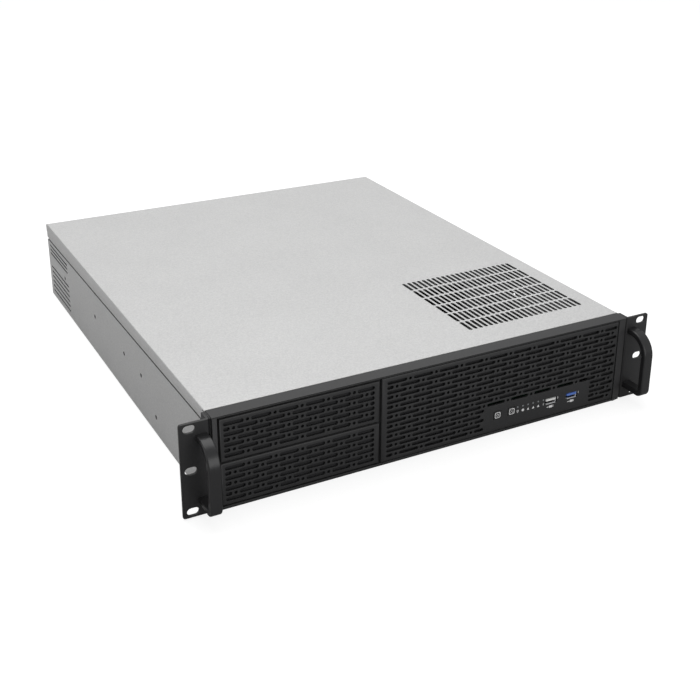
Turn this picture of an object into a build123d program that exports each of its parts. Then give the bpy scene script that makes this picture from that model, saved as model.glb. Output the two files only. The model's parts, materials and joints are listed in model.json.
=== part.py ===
# Empty two-unit rackmount server case: folded steel pan, lift-off lid, slotted plastic fascia,
# rack ears with cast handles, drive cages, fan wall and rear panel.
# X runs to the right seen from the front, Y to the back, Z up.
import math
import os

from build123d import *

os.makedirs("parts", exist_ok=True)

# Overall sizes
case_width = 430.0
case_height = 88.0
case_depth = 530.0  # fascia's front face to the lid's back flange
sheet = 1.0  # folded steel
lift_gap = 0.3  # round whatever lifts or slides
fascia_depth = 15.0

# Lid
flange_drop_front = 10.6  # the side flange deepens towards the back
flange_drop_back = 17.4
back_flange_drop = 9.0
groove = 0.8  # open line under the side flange
lap = 2.5  # joggle that carries the upper side wall
hem = 9.0  # inward rim that the lid lies on
fold_radius = 1.2
vent_columns = 23
vent_rows = 6
vent_pitch_x = 5.86
vent_pitch_y = 21.7
vent_slot_width = 3.3
vent_slot_length = 19.3
vent_from_side = 85.2  # lid's side to the middle of the vent
vent_first_slot = 47.2  # fascia's front face to the first row of slots

# Side walls
tab_set_back = 5.0  # chassis tabs behind the ears, from the fascia's front
tab_bottom = 3.0
side_vent_length = 75.0
side_vent_height = 2.0
side_vent_from_back = 10.0
low_vent_first = 8.8
low_vent_pitch = 6.0
low_vent_rows = 6
high_vent_margin = 2.1  # below the joggle
high_vent_pitch = 4.8
high_vent_rows = 3
rail_hole_radius = 2.2
rail_height = 44.5
rail_first = 183.0
rail_spacing = 154.0
rail_middle = 53.0
rail_rear_from_back = 72.0
low_hole = (144.0, 18.8)

# Fascia frame
lip = 1.4
bottom_rail = 2.6
bottom_rail_set_back = 0.8
left_stile = 4.5
right_stile = 8.9
mullion_from_bay = 1.8
mullion_width = 7.2
ledge = 3.4
ledge_side = 1.4
ledge_set_back = 3.4
hook_from_mullion = 1.0
hook_width = 2.0
hook_gap = 0.2
hook_height = 8.0
hook_reach = 2.5
hook_heights = (22.0, 66.0)

# Front wall
window_margin = 6.0
window_bottom = 8.0
window_drop = 7.0  # below the lid's underside
field_window_bottom = 38.0  # clears the control board's spacers
drain_margin = 4.0  # from the bay window to the wall's foot

# Slots of the fascia
slot_height = 2.8
least_slot = 3.0

# Slotted panel
panel_thickness = 2.4
panel_gap = 0.4
panel_bottom = 3.2
panel_split = 0.6  # from the mullion's centre to the panel's edge
panel_margin = 5.4
panel_period = 26.65
panel_slot = 19.0
panel_rows = 16
panel_row_margin = 6.0  # from the opening's top to the first row
panel_low_row = 8.6
panel_end_margin = 1.4
field_left = 51.0
field_right = 173.5
field_rows = 5
rib = 1.2

# Controls
button_size = 8.0
button_gap = 0.2
button_x = (66.2, 82.2)
button_z = 19.8
button_proud = 0.3
button_travel = 1.5
button_lip = 1.0
button_lip_thickness = 1.2
stem_radius = 1.5
led_radius = 0.95
led_gap = 0.15
led_count = 6
led_sides = 8  # eight-sided light pipes
led_first_x = 89.3
led_pitch = 5.94
led_z = 22.3
usb_x = (128.1, 152.7)
usb_z = 19.6
usb_width = 13.1
usb_height = 5.7
usb_wall = 0.4
usb_gap = 0.3
tongue_width = 11.1
tongue_thickness = 1.8
tongue_rise = 1.1
board_front = 12.4
board_thickness = 1.4
board_left = 58.0
board_right = 170.0
board_bottom = 8.0
board_top = 31.0
spacer_flats = 5.0
spacer_inset = 4.0
switch_size = 6.0
switch_depth = 3.5

# Dust filter
filter_thickness = 3.0
filter_gap = 0.5

# Drive bay covers
cover_face = 2.2
cover_set_back = 0.8
cover_top_gap = 1.8
cover_bottom_gap = 0.6
cover_split = 0.8
cover_side_gap = 1.6
cover_right_gap = 0.8
cover_wall = 1.6
cover_depth = 11.2
cover_inset = 3.2  # the face laps over the mullion
cover_bevel = 1.0
cover_period = 24.6
cover_slot = 17.4
cover_rows = 7
cover_row_margin = 5.5
cover_margin = 3.6
tab_length = 12.0
tab_height = 10.0

# Ears and handles
ear_thickness = 2.5
ear_set_back = 1.5
ear_margin = 0.5
ear_corner = 2.0
ear_bend = 2.0
ear_width = 26.3  # beyond the case's side
rack_hole_out = 17.55
rack_hole_margin = 5.9  # from the case's top and bottom
ear_slot_length = 10.4
ear_slot_width = 6.8
handle_reach = 26.0
handle_bar = 6.0
handle_width = 10.5
handle_out = 7.2
handle_height = 64.0
handle_top_radius = 22.0
handle_bottom_radius = 7.5
handle_round = 1.0
handle_screw_depth = 9.0

# Drive cages
bay_width = 147.0
bay_floor = 2.4
bay_side_gap = 5.5
bay_screws = (10.0, 21.9)
bay_depth = 170.0
strap = 16.0
shelf = 6.0
drive_width = 102.4
drive_count = 3
drive_side_gap = 5.6
drive_top_gap = 3.3
drive_screw = 6.35
drive_depth = 150.0
drive_slot_length = 8.0
drive_slot_width = 3.4

# Power supply cradle
supply_left_gap = 6.2
supply_right_gap = 6.7
supply_depth = 158.0
supply_rail = 24.0
supply_window_side = 13.0
supply_window_end = 17.0
supply_hole_side = 7.0
supply_hole_end = 12.0
supply_hole_radius = 2.0

# Fan wall and fans
fan_wall_at = 206.0  # behind the fascia's front face
cable_way = 12.7  # at both sides of the fan wall
fan_count = 3
fan_pitch = 126.0
fan_clear = 2.5  # above and below
fan_depth = 25.0
fan_rim = 2.0
fan_hub = 16.0
fan_blades = 5
fan_tip_gap = 1.2
fan_cup_depth = 16.0
fan_seat = 3.0
fan_strut = 4.0
fan_shaft = 1.5
fan_shaft_gap = 0.05
blade_thickness = 1.2
blade_pitch = 35.0
blade_chord = 24.0

# Cross brace
brace_at = 330.0
brace_width = 16.0
brace_height = 6.0

# Main board standoffs
standoff_height = 6.5
standoff_flats = 5.5
standoff_bore = 1.6
standoff_bore_depth = 5.0
board_hole_x = (0.0, 124.46, 281.94)
board_hole_y = (0.0, 154.94, 227.33)
board_hole_side = 25.0  # from the case's side
board_hole_back = 24.0  # from the rear panel to the last row

# Rear panel
card_count = 7
card_pitch = 20.32
card_from_side = 83.0
card_window_width = 13.0
card_window_bottom = 9.0
card_window_margin = 5.0
card_ledge_drop = 8.0
card_floor = 6.0
card_recess = 13.0
card_cheek = 9.9
card_cover_width = 18.4
card_cover_thickness = 0.9
card_cover_bottom = 4.0
card_tab = 11.0
card_screw_in = 6.0
io_width = 158.75
io_height = 44.45
io_gap = 2.94
io_bottom = 5.3
rear_vent_left_gap = 10.45
rear_vent_right_gap = 21.0
rear_vent_web = 3.0
rear_vent_height = 3.0
rear_vent_rows = 9
rear_vent_pitch = 6.0
rear_vent_z = 40.0
inlet_from_side = 19.0
inlet_z = 40.0
inlet_width = 20.0
inlet_height = 27.5
inlet_depth = 20.0
inlet_wall = 2.0
inlet_cavity = 17.0
inlet_chamfer = 4.0
inlet_flange_width = 24.0
inlet_flange_height = 31.0
inlet_flange = 2.4
pin_width = 2.0
pin_height = 4.0
pin_length = 11.0
pin_spread = 7.0
pin_offset = 2.0

# Fasteners
screw_radius = 1.45
screw_gap = 0.05
screw_head_radius = 2.7
screw_head = 1.8
thumb_radius = 3.0
thumb_head = 3.5
thumb_shank = 8.0
thumb_drop = 4.4  # below the lid's top

# Places worked out from the sizes above
overall_length = handle_reach + case_depth + lift_gap + thumb_head
front = handle_reach - overall_length / 2
wall_front = front + fascia_depth
wall_back = wall_front + sheet
back = front + case_depth
panel_back = back - sheet - lift_gap
panel_front = panel_back - sheet
half = case_width / 2
upper_out = half - sheet - lift_gap
upper_in = upper_out - sheet
lid_under = case_height - sheet
hem_under = lid_under - sheet
rim_edge = upper_in - hem
ear_front = front + ear_set_back
screw_hole = screw_radius + screw_gap
bay_height = (hem_under - sheet - bay_floor) / 2
bay_left = -upper_in + bay_side_gap
bay_right = bay_left + bay_width
bay_top = bay_floor + 2 * bay_height
drive_height = (hem_under - bay_floor - 2 * sheet - drive_top_gap) / drive_count
drive_left = bay_right + drive_side_gap
supply_left = drive_left + drive_width + supply_left_gap
supply_right = upper_in - supply_right_gap
supply_width = supply_right - supply_left
supply_middle = (supply_left + supply_right) / 2
card_centre = -half + card_from_side
card_half = (card_count - 1) / 2 * card_pitch + card_cheek
card_slots = [card_centre + (i - (card_count - 1) / 2) * card_pitch for i in range(card_count)]
card_ledge = case_height - card_ledge_drop


def across(y):
    # Upright plane at depth y, seen from the front: local X and Z, extrusions of -d run back by d
    return Plane(origin=(0, y, 0), x_dir=(1, 0, 0), z_dir=(0, -1, 0))


def beside(x):
    # Upright plane at width x: local Y and Z, extrusions run to the right
    return Plane(origin=(x, 0, 0), x_dir=(0, 1, 0), z_dir=(1, 0, 0))


def spans(left, right, period, length, offset):
    # Slots of one row, cut off at the ends of the row
    start = left + offset
    while start < right:
        a, b = max(start, left), min(start + length, right)
        if b - a >= least_slot:
            yield a, b
        start += period


def box(low, high, mode=Mode.ADD):
    # Square-edged block between two corners
    size = [h - l for l, h in zip(low, high)]
    middle = [(l + h) / 2 for l, h in zip(low, high)]
    with Locations(Vector(*middle)):
        Box(*size, mode=mode)


def lid_edge(y, below=0.0):
    # Lower edge of the lid's side flange at depth y
    share = (y - wall_front) / (back - wall_front)
    drop = flange_drop_front + (flange_drop_back - flange_drop_front) * share
    return case_height - drop - below


# Folded pan: base, side walls with a joggle under the lid, rims that the lid lies on
with BuildPart() as pan:
    box((-half, wall_front, 0), (half, panel_back, sheet))
    for side in (-1, 1):
        with BuildSketch(beside(side * half)):
            Polygon(
                (front + tab_set_back, tab_bottom),
                (wall_front, tab_bottom),
                (wall_front, 0),
                (panel_back, 0),
                (panel_back, lid_edge(panel_back, groove)),
                (wall_front, lid_edge(wall_front, groove)),
                (wall_front, lid_under),
                (front + tab_set_back, lid_under),
            )
        extrude(amount=-side * sheet)
        with BuildSketch(beside(side * half)):
            Polygon(
                (wall_front, lid_edge(wall_front, groove + lap)),
                (panel_back, lid_edge(panel_back, groove + lap)),
                (panel_back, lid_edge(panel_back, groove)),
                (wall_front, lid_edge(wall_front, groove)),
            )
        extrude(amount=-side * (half - upper_in))
        with BuildSketch(beside(side * upper_out)):
            Polygon(
                (wall_front, lid_edge(wall_front, groove + lap)),
                (panel_back, lid_edge(panel_back, groove + lap)),
                (panel_back, lid_under),
                (wall_front, lid_under),
            )
        extrude(amount=-side * sheet)
        rim_x = sorted((side * upper_out, side * rim_edge))
        box((rim_x[0], wall_back, hem_under), (rim_x[1], panel_front, lid_under))
    bottom_folds = pan.edges().filter_by(Axis.Y).group_by(Axis.Z)[0]
    fillet(bottom_folds.group_by(Axis.X)[0] + bottom_folds.group_by(Axis.X)[-1], fold_radius)
    vent_y = panel_back - side_vent_from_back - side_vent_length / 2
    with BuildSketch(beside(-half)):
        for row in range(low_vent_rows):
            with Locations((vent_y, low_vent_first + row * low_vent_pitch)):
                Rectangle(side_vent_length, side_vent_height)
        high_vent_top = lid_edge(panel_back, groove + lap + high_vent_margin)
        for row in range(high_vent_rows):
            with Locations((vent_y, high_vent_top - row * high_vent_pitch)):
                Rectangle(side_vent_length, side_vent_height)
        rail_rear = case_depth - rail_rear_from_back
        rail_y = [rail_first, rail_first + rail_middle, rail_first + rail_spacing, rail_rear]
        with Locations([(front + y, rail_height) for y in rail_y]):
            Circle(rail_hole_radius)
        with Locations((front + low_hole[0], low_hole[1])):
            Circle(rail_hole_radius)
    extrude(amount=case_width, mode=Mode.SUBTRACT)
pan.part.label = "chassis_pan"
export_step(pan.part, "parts/chassis_pan.step")

# Lid: skin with the roof vent, deepening side flanges, back flange notched for the thumb screws
thumb_x = card_centre - 1.5 * card_pitch
thumb_z = case_height - thumb_drop
thumbs = [(thumb_x, thumb_z), (0.0, thumb_z), (-thumb_x, thumb_z)]
lid_front = wall_front + lift_gap
with BuildPart() as lid:
    with BuildSketch(Plane.XY.offset(lid_under)):
        with Locations((0, (lid_front + back) / 2)):
            Rectangle(case_width, back - lid_front)
        vent_middle = front + vent_first_slot + ((vent_rows - 1) * vent_pitch_y + vent_slot_length) / 2
        with Locations((half - vent_from_side, vent_middle)):
            with GridLocations(vent_pitch_x, vent_pitch_y, vent_columns, vent_rows):
                Rectangle(vent_slot_width, vent_slot_length, mode=Mode.SUBTRACT)
    extrude(amount=sheet)
    for side in (-1, 1):
        with BuildSketch(beside(side * half)):
            Polygon(
                (lid_front, lid_edge(lid_front)),
                (back, lid_edge(back)),
                (back, case_height),
                (lid_front, case_height),
            )
        extrude(amount=-side * sheet)
    box((-half, back - sheet, case_height - back_flange_drop), (half, back, case_height))
    long_folds = lid.edges().filter_by(Axis.Y).group_by(Axis.Z)[-1]
    fillet(long_folds.group_by(Axis.X)[0] + long_folds.group_by(Axis.X)[-1], fold_radius)
    with BuildSketch(across(back)):
        for x, z in thumbs:
            notch = screw_radius + lift_gap
            with Locations((x, z)):
                Circle(notch)
            with Locations((x, z - back_flange_drop / 2)):
                Rectangle(2 * notch, back_flange_drop)
    extrude(amount=sheet, mode=Mode.SUBTRACT)
lid.part.label = "top_cover"
export_step(lid.part, "parts/top_cover.step")

# Front wall: steel plate behind the fascia, with the drive bay window and air windows
mullion_centre = bay_right + mullion_from_bay
hook_x = (mullion_centre + hook_from_mullion, upper_out - right_stile / 2)
window_top = lid_under - window_drop
with BuildPart() as front_wall:
    with BuildSketch(across(wall_front)):
        with Locations((0, (sheet + lid_under) / 2)):
            Rectangle(2 * upper_in, lid_under - sheet)
        with Locations(((bay_left + bay_right) / 2, (bay_floor + bay_top) / 2)):
            Rectangle(bay_width, bay_top - bay_floor, mode=Mode.SUBTRACT)
        with Locations((drive_left + drive_width / 2, (window_bottom + window_top) / 2)):
            Rectangle(drive_width - 2 * window_margin, window_top - window_bottom, mode=Mode.SUBTRACT)
        air_width = supply_width - 2 * window_margin
        with Locations((supply_middle, (field_window_bottom + window_top) / 2)):
            Rectangle(air_width, window_top - field_window_bottom, mode=Mode.SUBTRACT)
        with Locations([(x, z) for x in hook_x for z in hook_heights]):
            Rectangle(hook_width + 2 * hook_gap, hook_height + 2 * hook_gap, mode=Mode.SUBTRACT)
    extrude(amount=-sheet)
    box((-rim_edge, wall_back, hem_under), (rim_edge, wall_back + hem, lid_under))
    box((bay_right + drain_margin, wall_back, sheet), (upper_in, wall_back + hem, 2 * sheet))
front_wall.part.label = "front_wall"
export_step(front_wall.part, "parts/front_wall.step")

# Fascia frame: one moulding with top lip, stiles, recessed bottom rail, mullion and panel ledge
frame_half = upper_out
opening_left = -frame_half + left_stile
opening_right = frame_half - right_stile
opening_top = case_height - lip
mullion_left = mullion_centre - mullion_width / 2
mullion_right = mullion_centre + mullion_width / 2
with BuildPart() as bezel:
    with BuildSketch(across(front)):
        with Locations((0, case_height / 2)):
            Rectangle(2 * frame_half, case_height)
        with Locations(((opening_left + opening_right) / 2, (bottom_rail + opening_top) / 2)):
            Rectangle(opening_right - opening_left, opening_top - bottom_rail, mode=Mode.SUBTRACT)
    extrude(amount=-fascia_depth)
    with BuildSketch(across(front + ledge_set_back)):
        with Locations(((mullion_left + opening_right) / 2, (bottom_rail + opening_top) / 2)):
            Rectangle(opening_right - mullion_left, opening_top - bottom_rail)
        inner_left, inner_right = mullion_right, opening_right - ledge_side
        inner_bottom, inner_top = bottom_rail + ledge, opening_top - ledge
        with Locations(((inner_left + inner_right) / 2, (inner_bottom + inner_top) / 2)):
            Rectangle(inner_right - inner_left, inner_top - inner_bottom, mode=Mode.SUBTRACT)
    extrude(amount=-(fascia_depth - ledge_set_back))
    box(
        (opening_left, front, 0),
        (opening_right, front + bottom_rail_set_back, bottom_rail),
        mode=Mode.SUBTRACT,
    )
    for x in hook_x:
        for z in hook_heights:
            box(
                (x - hook_width / 2, wall_front, z - hook_height / 2),
                (x + hook_width / 2, wall_back + hook_reach, z + hook_height / 2),
            )
    lip_edges = bezel.edges().filter_by(Axis.X).group_by(Axis.Z)[-1]
    chamfer(lip_edges.group_by(Axis.Y)[0], 0.5)
bezel.part.label = "front_bezel"
export_step(bezel.part, "parts/front_bezel.step")

# Slotted panel with its smooth control field
panel_left = mullion_centre + panel_split
panel_right = opening_right - panel_gap
panel_top = opening_top - panel_gap
row_pitch = (opening_top - panel_row_margin - panel_low_row) / (panel_rows - 1)
with BuildPart() as grille:
    with BuildSketch(across(front)):
        with Locations(((panel_left + panel_right) / 2, (panel_bottom + panel_top) / 2)):
            Rectangle(panel_right - panel_left, panel_top - panel_bottom)
        for row in range(panel_rows):
            z = opening_top - panel_row_margin - row * row_pitch
            offset = -panel_period / 2 if row % 2 else 0.0
            left, right = panel_left + panel_margin, panel_right - panel_end_margin
            cuts = []
            for a, b in spans(left, right, panel_period, panel_slot, offset):
                if row < panel_rows - field_rows:
                    cuts.append((a, b))
                else:
                    cuts += [(a, min(b, field_left)), (max(a, field_right), b)]
            for a, b in cuts:
                if b - a >= least_slot:
                    with Locations(((a + b) / 2, z)):
                        Rectangle(b - a, slot_height, mode=Mode.SUBTRACT)
        with Locations([(x, button_z) for x in button_x]):
            Rectangle(button_size + 2 * button_gap, button_size + 2 * button_gap, mode=Mode.SUBTRACT)
        with Locations([(led_first_x + i * led_pitch, led_z) for i in range(led_count)]):
            RegularPolygon(led_radius + led_gap, led_sides, mode=Mode.SUBTRACT)
        with Locations([(x, usb_z) for x in usb_x]):
            Rectangle(usb_width + 2 * usb_gap, usb_height + 2 * usb_gap, mode=Mode.SUBTRACT)
    extrude(amount=-panel_thickness)
    chamfer(grille.edges().filter_by(Axis.Z).group_by(Axis.X)[0].group_by(Axis.Y)[0], 0.8)
    with BuildSketch(across(front + panel_thickness)):
        with Locations(((panel_left + panel_right) / 2, (panel_bottom + panel_top) / 2)):
            Rectangle(panel_right - panel_left, panel_top - panel_bottom)
            inside = (panel_right - panel_left - 2 * rib, panel_top - panel_bottom - rib)
            Rectangle(*inside, mode=Mode.SUBTRACT)
    extrude(amount=-(ledge_set_back - panel_thickness))
grille.part.label = "front_grille"
export_step(grille.part, "parts/front_grille.step")

# Dust filter pad behind the slotted panel, cut away round the controls
filter_front = front + ledge_set_back
with BuildPart() as dust_filter:
    box(
        (inner_left + filter_gap, filter_front, inner_bottom + filter_gap),
        (inner_right - filter_gap, filter_front + filter_thickness, inner_top - filter_gap),
    )
    box(
        (field_left, filter_front, 0),
        (field_right, filter_front + filter_thickness, board_top + 2.0),
        mode=Mode.SUBTRACT,
    )
dust_filter.part.label = "dust_filter"
export_step(dust_filter.part, "parts/dust_filter.step")

# Two stacked drive bay covers: slotted shells with spring tabs
cover_left = opening_left + cover_side_gap
cover_right = mullion_centre - cover_right_gap
stack_bottom = bottom_rail + cover_bottom_gap
cover_height = (opening_top - cover_top_gap - stack_bottom - cover_split) / 2
cover_front = front + cover_set_back
shell_right = cover_right - cover_inset
cover_pitch = (cover_height - 2 * cover_row_margin) / (cover_rows - 1)
for index, name in enumerate(("bay_cover_lower", "bay_cover_upper")):
    low = stack_bottom + index * (cover_height + cover_split)
    high = low + cover_height
    middle = (low + high) / 2
    with BuildPart() as bay_cover:
        with BuildSketch(across(cover_front)):
            with Locations(((cover_left + cover_right) / 2, middle)):
                Rectangle(cover_right - cover_left, cover_height)
        extrude(amount=-cover_face)
        chamfer(bay_cover.faces().sort_by(Axis.Y)[0].edges(), cover_bevel)
        box((cover_left, cover_front + cover_face, low), (shell_right, cover_front + cover_depth, high))
        box(
            (cover_left + cover_wall, cover_front + cover_face, low + cover_wall),
            (shell_right - cover_wall, cover_front + cover_depth, high - cover_wall),
            mode=Mode.SUBTRACT,
        )
        for tab in (bay_left + lift_gap, shell_right - cover_wall):
            box(
                (tab, cover_front + cover_depth - cover_wall, middle - tab_height / 2),
                (tab + cover_wall, cover_front + cover_depth + tab_length, middle + tab_height / 2),
            )
        with BuildSketch(across(cover_front)):
            for row in range(cover_rows):
                z = high - cover_row_margin - row * cover_pitch
                offset = -cover_period / 2 if row % 2 else 0.0
                left, right = cover_left + cover_margin, cover_right - cover_margin - cover_bevel
                for a, b in spans(left, right, cover_period, cover_slot, offset):
                    with Locations(((a + b) / 2, z)):
                        Rectangle(b - a, slot_height)
        extrude(amount=-cover_face, mode=Mode.SUBTRACT)
    bay_cover.part.label = name
    export_step(bay_cover.part, f"parts/{name}.step")

# Push buttons: cap through the panel, lip behind it, stem towards the switch
lip_front = front + panel_thickness + lift_gap
lip_back = lip_front + button_lip_thickness
switch_front = front + board_front - switch_depth
for name, x in zip(("power_button", "reset_button"), button_x):
    with BuildPart() as button:
        with BuildSketch(across(front - button_proud)):
            with Locations((x, button_z)):
                RectangleRounded(button_size, button_size, 0.8)
        extrude(amount=-(lip_front - front + button_proud))
        with BuildSketch(across(lip_front)):
            with Locations((x, button_z)):
                wide = button_size + 2 * button_gap + 2 * button_lip
                Rectangle(wide, wide)
        extrude(amount=-button_lip_thickness)
        with BuildSketch(across(lip_back)):
            with Locations((x, button_z)):
                Circle(stem_radius)
        extrude(amount=-(switch_front - lift_gap - button_travel - lip_back))
    button.part.label = name
    export_step(button.part, f"parts/{name}.step")

# Indicator lenses: light pipes from the panel to the control board
with BuildPart() as lenses:
    with BuildSketch(across(front + 0.2)):
        with Locations([(led_first_x + i * led_pitch, led_z) for i in range(led_count)]):
            RegularPolygon(led_radius, led_sides)
    extrude(amount=-(board_front - 0.2))
lenses.part.label = "led_lenses"
export_step(lenses.part, "parts/led_lenses.step")

# Two serial sockets: folded shell and contact tongue
for name, x in zip(("usb_white", "usb_blue"), usb_x):
    with BuildPart() as shell:
        with BuildSketch(across(front + 0.3)):
            with Locations((x, usb_z)):
                Rectangle(usb_width, usb_height)
                Rectangle(usb_width - 2 * usb_wall, usb_height - 2 * usb_wall, mode=Mode.SUBTRACT)
        extrude(amount=-(board_front - 0.3))
    shell.part.label = f"{name}_shell"
    export_step(shell.part, f"parts/{name}_shell.step")
    with BuildPart() as tongue:
        with BuildSketch(across(front + 1.5)):
            with Locations((x, usb_z + tongue_rise)):
                Rectangle(tongue_width, tongue_thickness)
        extrude(amount=-(board_front - 1.5))
    tongue.part.label = f"{name}_tongue"
    export_step(tongue.part, f"parts/{name}_tongue.step")

# Control board, its spacers on the front wall and its push switches
with BuildPart() as control_board:
    box(
        (board_left, front + board_front, board_bottom),
        (board_right, front + board_front + board_thickness, board_top),
    )
control_board.part.label = "control_board"
export_step(control_board.part, "parts/control_board.step")

with BuildPart() as spacers:
    with BuildSketch(across(front + board_front + board_thickness)):
        for x in (board_left + spacer_inset, board_right - spacer_inset):
            with Locations((x, board_bottom + spacer_inset), (x, board_top - spacer_inset)):
                RegularPolygon(spacer_flats / 2, 6, major_radius=False)
    extrude(amount=-(fascia_depth - board_front - board_thickness))
spacers.part.label = "board_spacers"
export_step(spacers.part, "parts/board_spacers.step")

with BuildPart() as switches:
    with BuildSketch(across(switch_front)):
        with Locations([(x, button_z) for x in button_x]):
            Rectangle(switch_size, switch_size)
    extrude(amount=-switch_depth)
switches.part.label = "push_switches"
export_step(switches.part, "parts/push_switches.step")

# Rack ears: bent plates with three slots, screwed over the chassis tabs
handle_middle = case_height / 2
handle_centre = half + handle_out
handle_holes = (
    handle_middle - handle_height / 2 + handle_bar / 2,
    handle_middle + handle_height / 2 - handle_bar / 2,
)
for name, side in (("left", -1), ("right", 1)):
    with BuildPart() as ear:
        with BuildSketch(across(ear_front)) as plate:
            with Locations((side * (half + ear_width / 2), case_height / 2)):
                Rectangle(ear_width, case_height - 2 * ear_margin)
            outer_corners = plate.vertices().group_by(Axis.X)[0 if side < 0 else -1]
            fillet(outer_corners, ear_corner)
            with Locations((side * (half + rack_hole_out), case_height / 2)):
                with GridLocations(0, case_height / 2 - rack_hole_margin, 1, 3):
                    SlotOverall(ear_slot_length, ear_slot_width, mode=Mode.SUBTRACT)
            with Locations([(side * handle_centre, z) for z in handle_holes]):
                Circle(screw_hole, mode=Mode.SUBTRACT)
        extrude(amount=-ear_thickness)
        with BuildSketch(beside(side * half)):
            with Locations(((ear_front + wall_front) / 2, case_height / 2)):
                Rectangle(wall_front - ear_front, case_height - 2 * ear_margin)
        extrude(amount=side * ear_thickness)
        front_edges = ear.edges().filter_by(Axis.Z).group_by(Axis.Y)[0].sort_by(Axis.X)
        fillet(front_edges[-1 if side < 0 else 0], ear_bend)
    ear.part.label = f"ear_{name}"
    export_step(ear.part, f"parts/ear_{name}.step")

# Handles: flat bars bent to an uneven bow, tapped at the back
for name, side in (("left", -1), ("right", 1)):
    with BuildPart() as handle:
        bow_depth = handle_reach + ear_set_back
        bow_front = front - handle_reach
        with BuildSketch(beside(side * handle_centre)) as bow:
            with Locations((bow_front + bow_depth / 2, handle_middle)):
                Rectangle(bow_depth, handle_height)
            fillet(bow.vertices().group_by(Axis.X)[0].sort_by(Axis.Y)[-1], handle_top_radius)
            fillet(bow.vertices().group_by(Axis.X)[0].sort_by(Axis.Y)[0], handle_bottom_radius)
        extrude(amount=handle_width / 2, both=True)
        with BuildSketch(beside(side * handle_centre)) as grip_room:
            with Locations((bow_front + handle_bar + (bow_depth - handle_bar) / 2, handle_middle)):
                Rectangle(bow_depth - handle_bar, handle_height - 2 * handle_bar)
            inner_top_radius = handle_top_radius - handle_bar
            inner_bottom_radius = handle_bottom_radius - handle_bar
            fillet(grip_room.vertices().group_by(Axis.X)[0].sort_by(Axis.Y)[-1], inner_top_radius)
            fillet(grip_room.vertices().group_by(Axis.X)[0].sort_by(Axis.Y)[0], inner_bottom_radius)
        extrude(amount=handle_width / 2, both=True, mode=Mode.SUBTRACT)
        flanks = handle.faces().sort_by(Axis.X)
        rims = flanks[0].edges() + flanks[-1].edges()
        chamfer([edge for edge in rims if edge.center().Y < ear_front - 0.1], handle_round)
        with BuildSketch(across(ear_front)):
            with Locations([(side * handle_centre, z) for z in handle_holes]):
                Circle(screw_hole)
        extrude(amount=handle_screw_depth, mode=Mode.SUBTRACT)
    handle.part.label = f"handle_{name}"
    export_step(handle.part, f"parts/handle_{name}.step")

# Screws that hold the handles, from behind the ears
with BuildPart() as handle_screws:
    with BuildSketch(across(ear_front + ear_thickness)):
        with Locations([(side * handle_centre, z) for side in (-1, 1) for z in handle_holes]):
            RegularPolygon(screw_head_radius, 6)
    extrude(amount=-screw_head)
    with BuildSketch(across(ear_front + ear_thickness)):
        with Locations([(side * handle_centre, z) for side in (-1, 1) for z in handle_holes]):
            Circle(screw_radius)
    extrude(amount=ear_thickness + handle_screw_depth - lift_gap)
handle_screws.part.label = "handle_screws"
export_step(handle_screws.part, "parts/handle_screws.step")


def folded_cage(left, width, start, depth, top, screw_heights):
    # Two upright plates with feet turned inwards, joined by straps, slotted for the drives' screws
    for x, foot in ((left - sheet, left), (left + width, left + width - shelf)):
        box((x, start, sheet), (x + sheet, start + depth, top))
        box((foot, start, sheet), (foot + shelf, start + depth, 2 * sheet))
    for y in (start, start + depth - strap):
        box((left, y, top - sheet), (left + width, y + strap, top))
    with BuildSketch(beside(left - sheet)) as slots:
        for z in screw_heights:
            with Locations((start + depth / 4, z), (start + depth * 3 / 4, z)):
                Rectangle(drive_slot_length, drive_slot_width)
    extrude(slots.sketch, amount=width + 2 * sheet, mode=Mode.SUBTRACT)


# Cage for two 5.25 inch drives, open to the front window
with BuildPart() as wide_cage:
    heights = [bay_floor + bay * bay_height + z for bay in range(2) for z in bay_screws]
    folded_cage(bay_left, bay_width, wall_back, bay_depth, hem_under, heights)
wide_cage.part.label = "drive_cage_wide"
export_step(wide_cage.part, "parts/drive_cage_wide.step")

# Cage for three 3.5 inch drives
inner_start = wall_back + hem + sheet
with BuildPart() as narrow_cage:
    heights = [bay_floor + bay * drive_height + drive_screw for bay in range(drive_count)]
    cage_top = bay_floor + drive_count * drive_height + 2 * sheet
    folded_cage(drive_left, drive_width, inner_start, drive_depth, cage_top, heights)
narrow_cage.part.label = "drive_cage_narrow"
export_step(narrow_cage.part, "parts/drive_cage_narrow.step")

# Power supply cradle: window plate at its back, a rail along each side
supply_back = inner_start + supply_depth
with BuildPart() as cradle:
    with BuildSketch(across(supply_back)):
        with Locations((supply_middle, (sheet + hem_under) / 2)):
            Rectangle(supply_width + 2 * sheet, hem_under - sheet)
        with Locations((supply_middle, case_height / 2)):
            window = (supply_width - 2 * supply_window_side, case_height - 2 * supply_window_end)
            Rectangle(*window, mode=Mode.SUBTRACT)
            holes = (supply_width - 2 * supply_hole_side, case_height - 2 * supply_hole_end)
            with GridLocations(*holes, 2, 2):
                Circle(supply_hole_radius, mode=Mode.SUBTRACT)
    extrude(amount=-sheet)
    for x, foot in ((supply_left - sheet, supply_left), (supply_right, supply_right - shelf)):
        box((x, inner_start, sheet), (x + sheet, supply_back, supply_rail))
        box((foot, inner_start, sheet), (foot + shelf, supply_back, 2 * sheet))
cradle.part.label = "supply_cradle"
export_step(cradle.part, "parts/supply_cradle.step")

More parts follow.
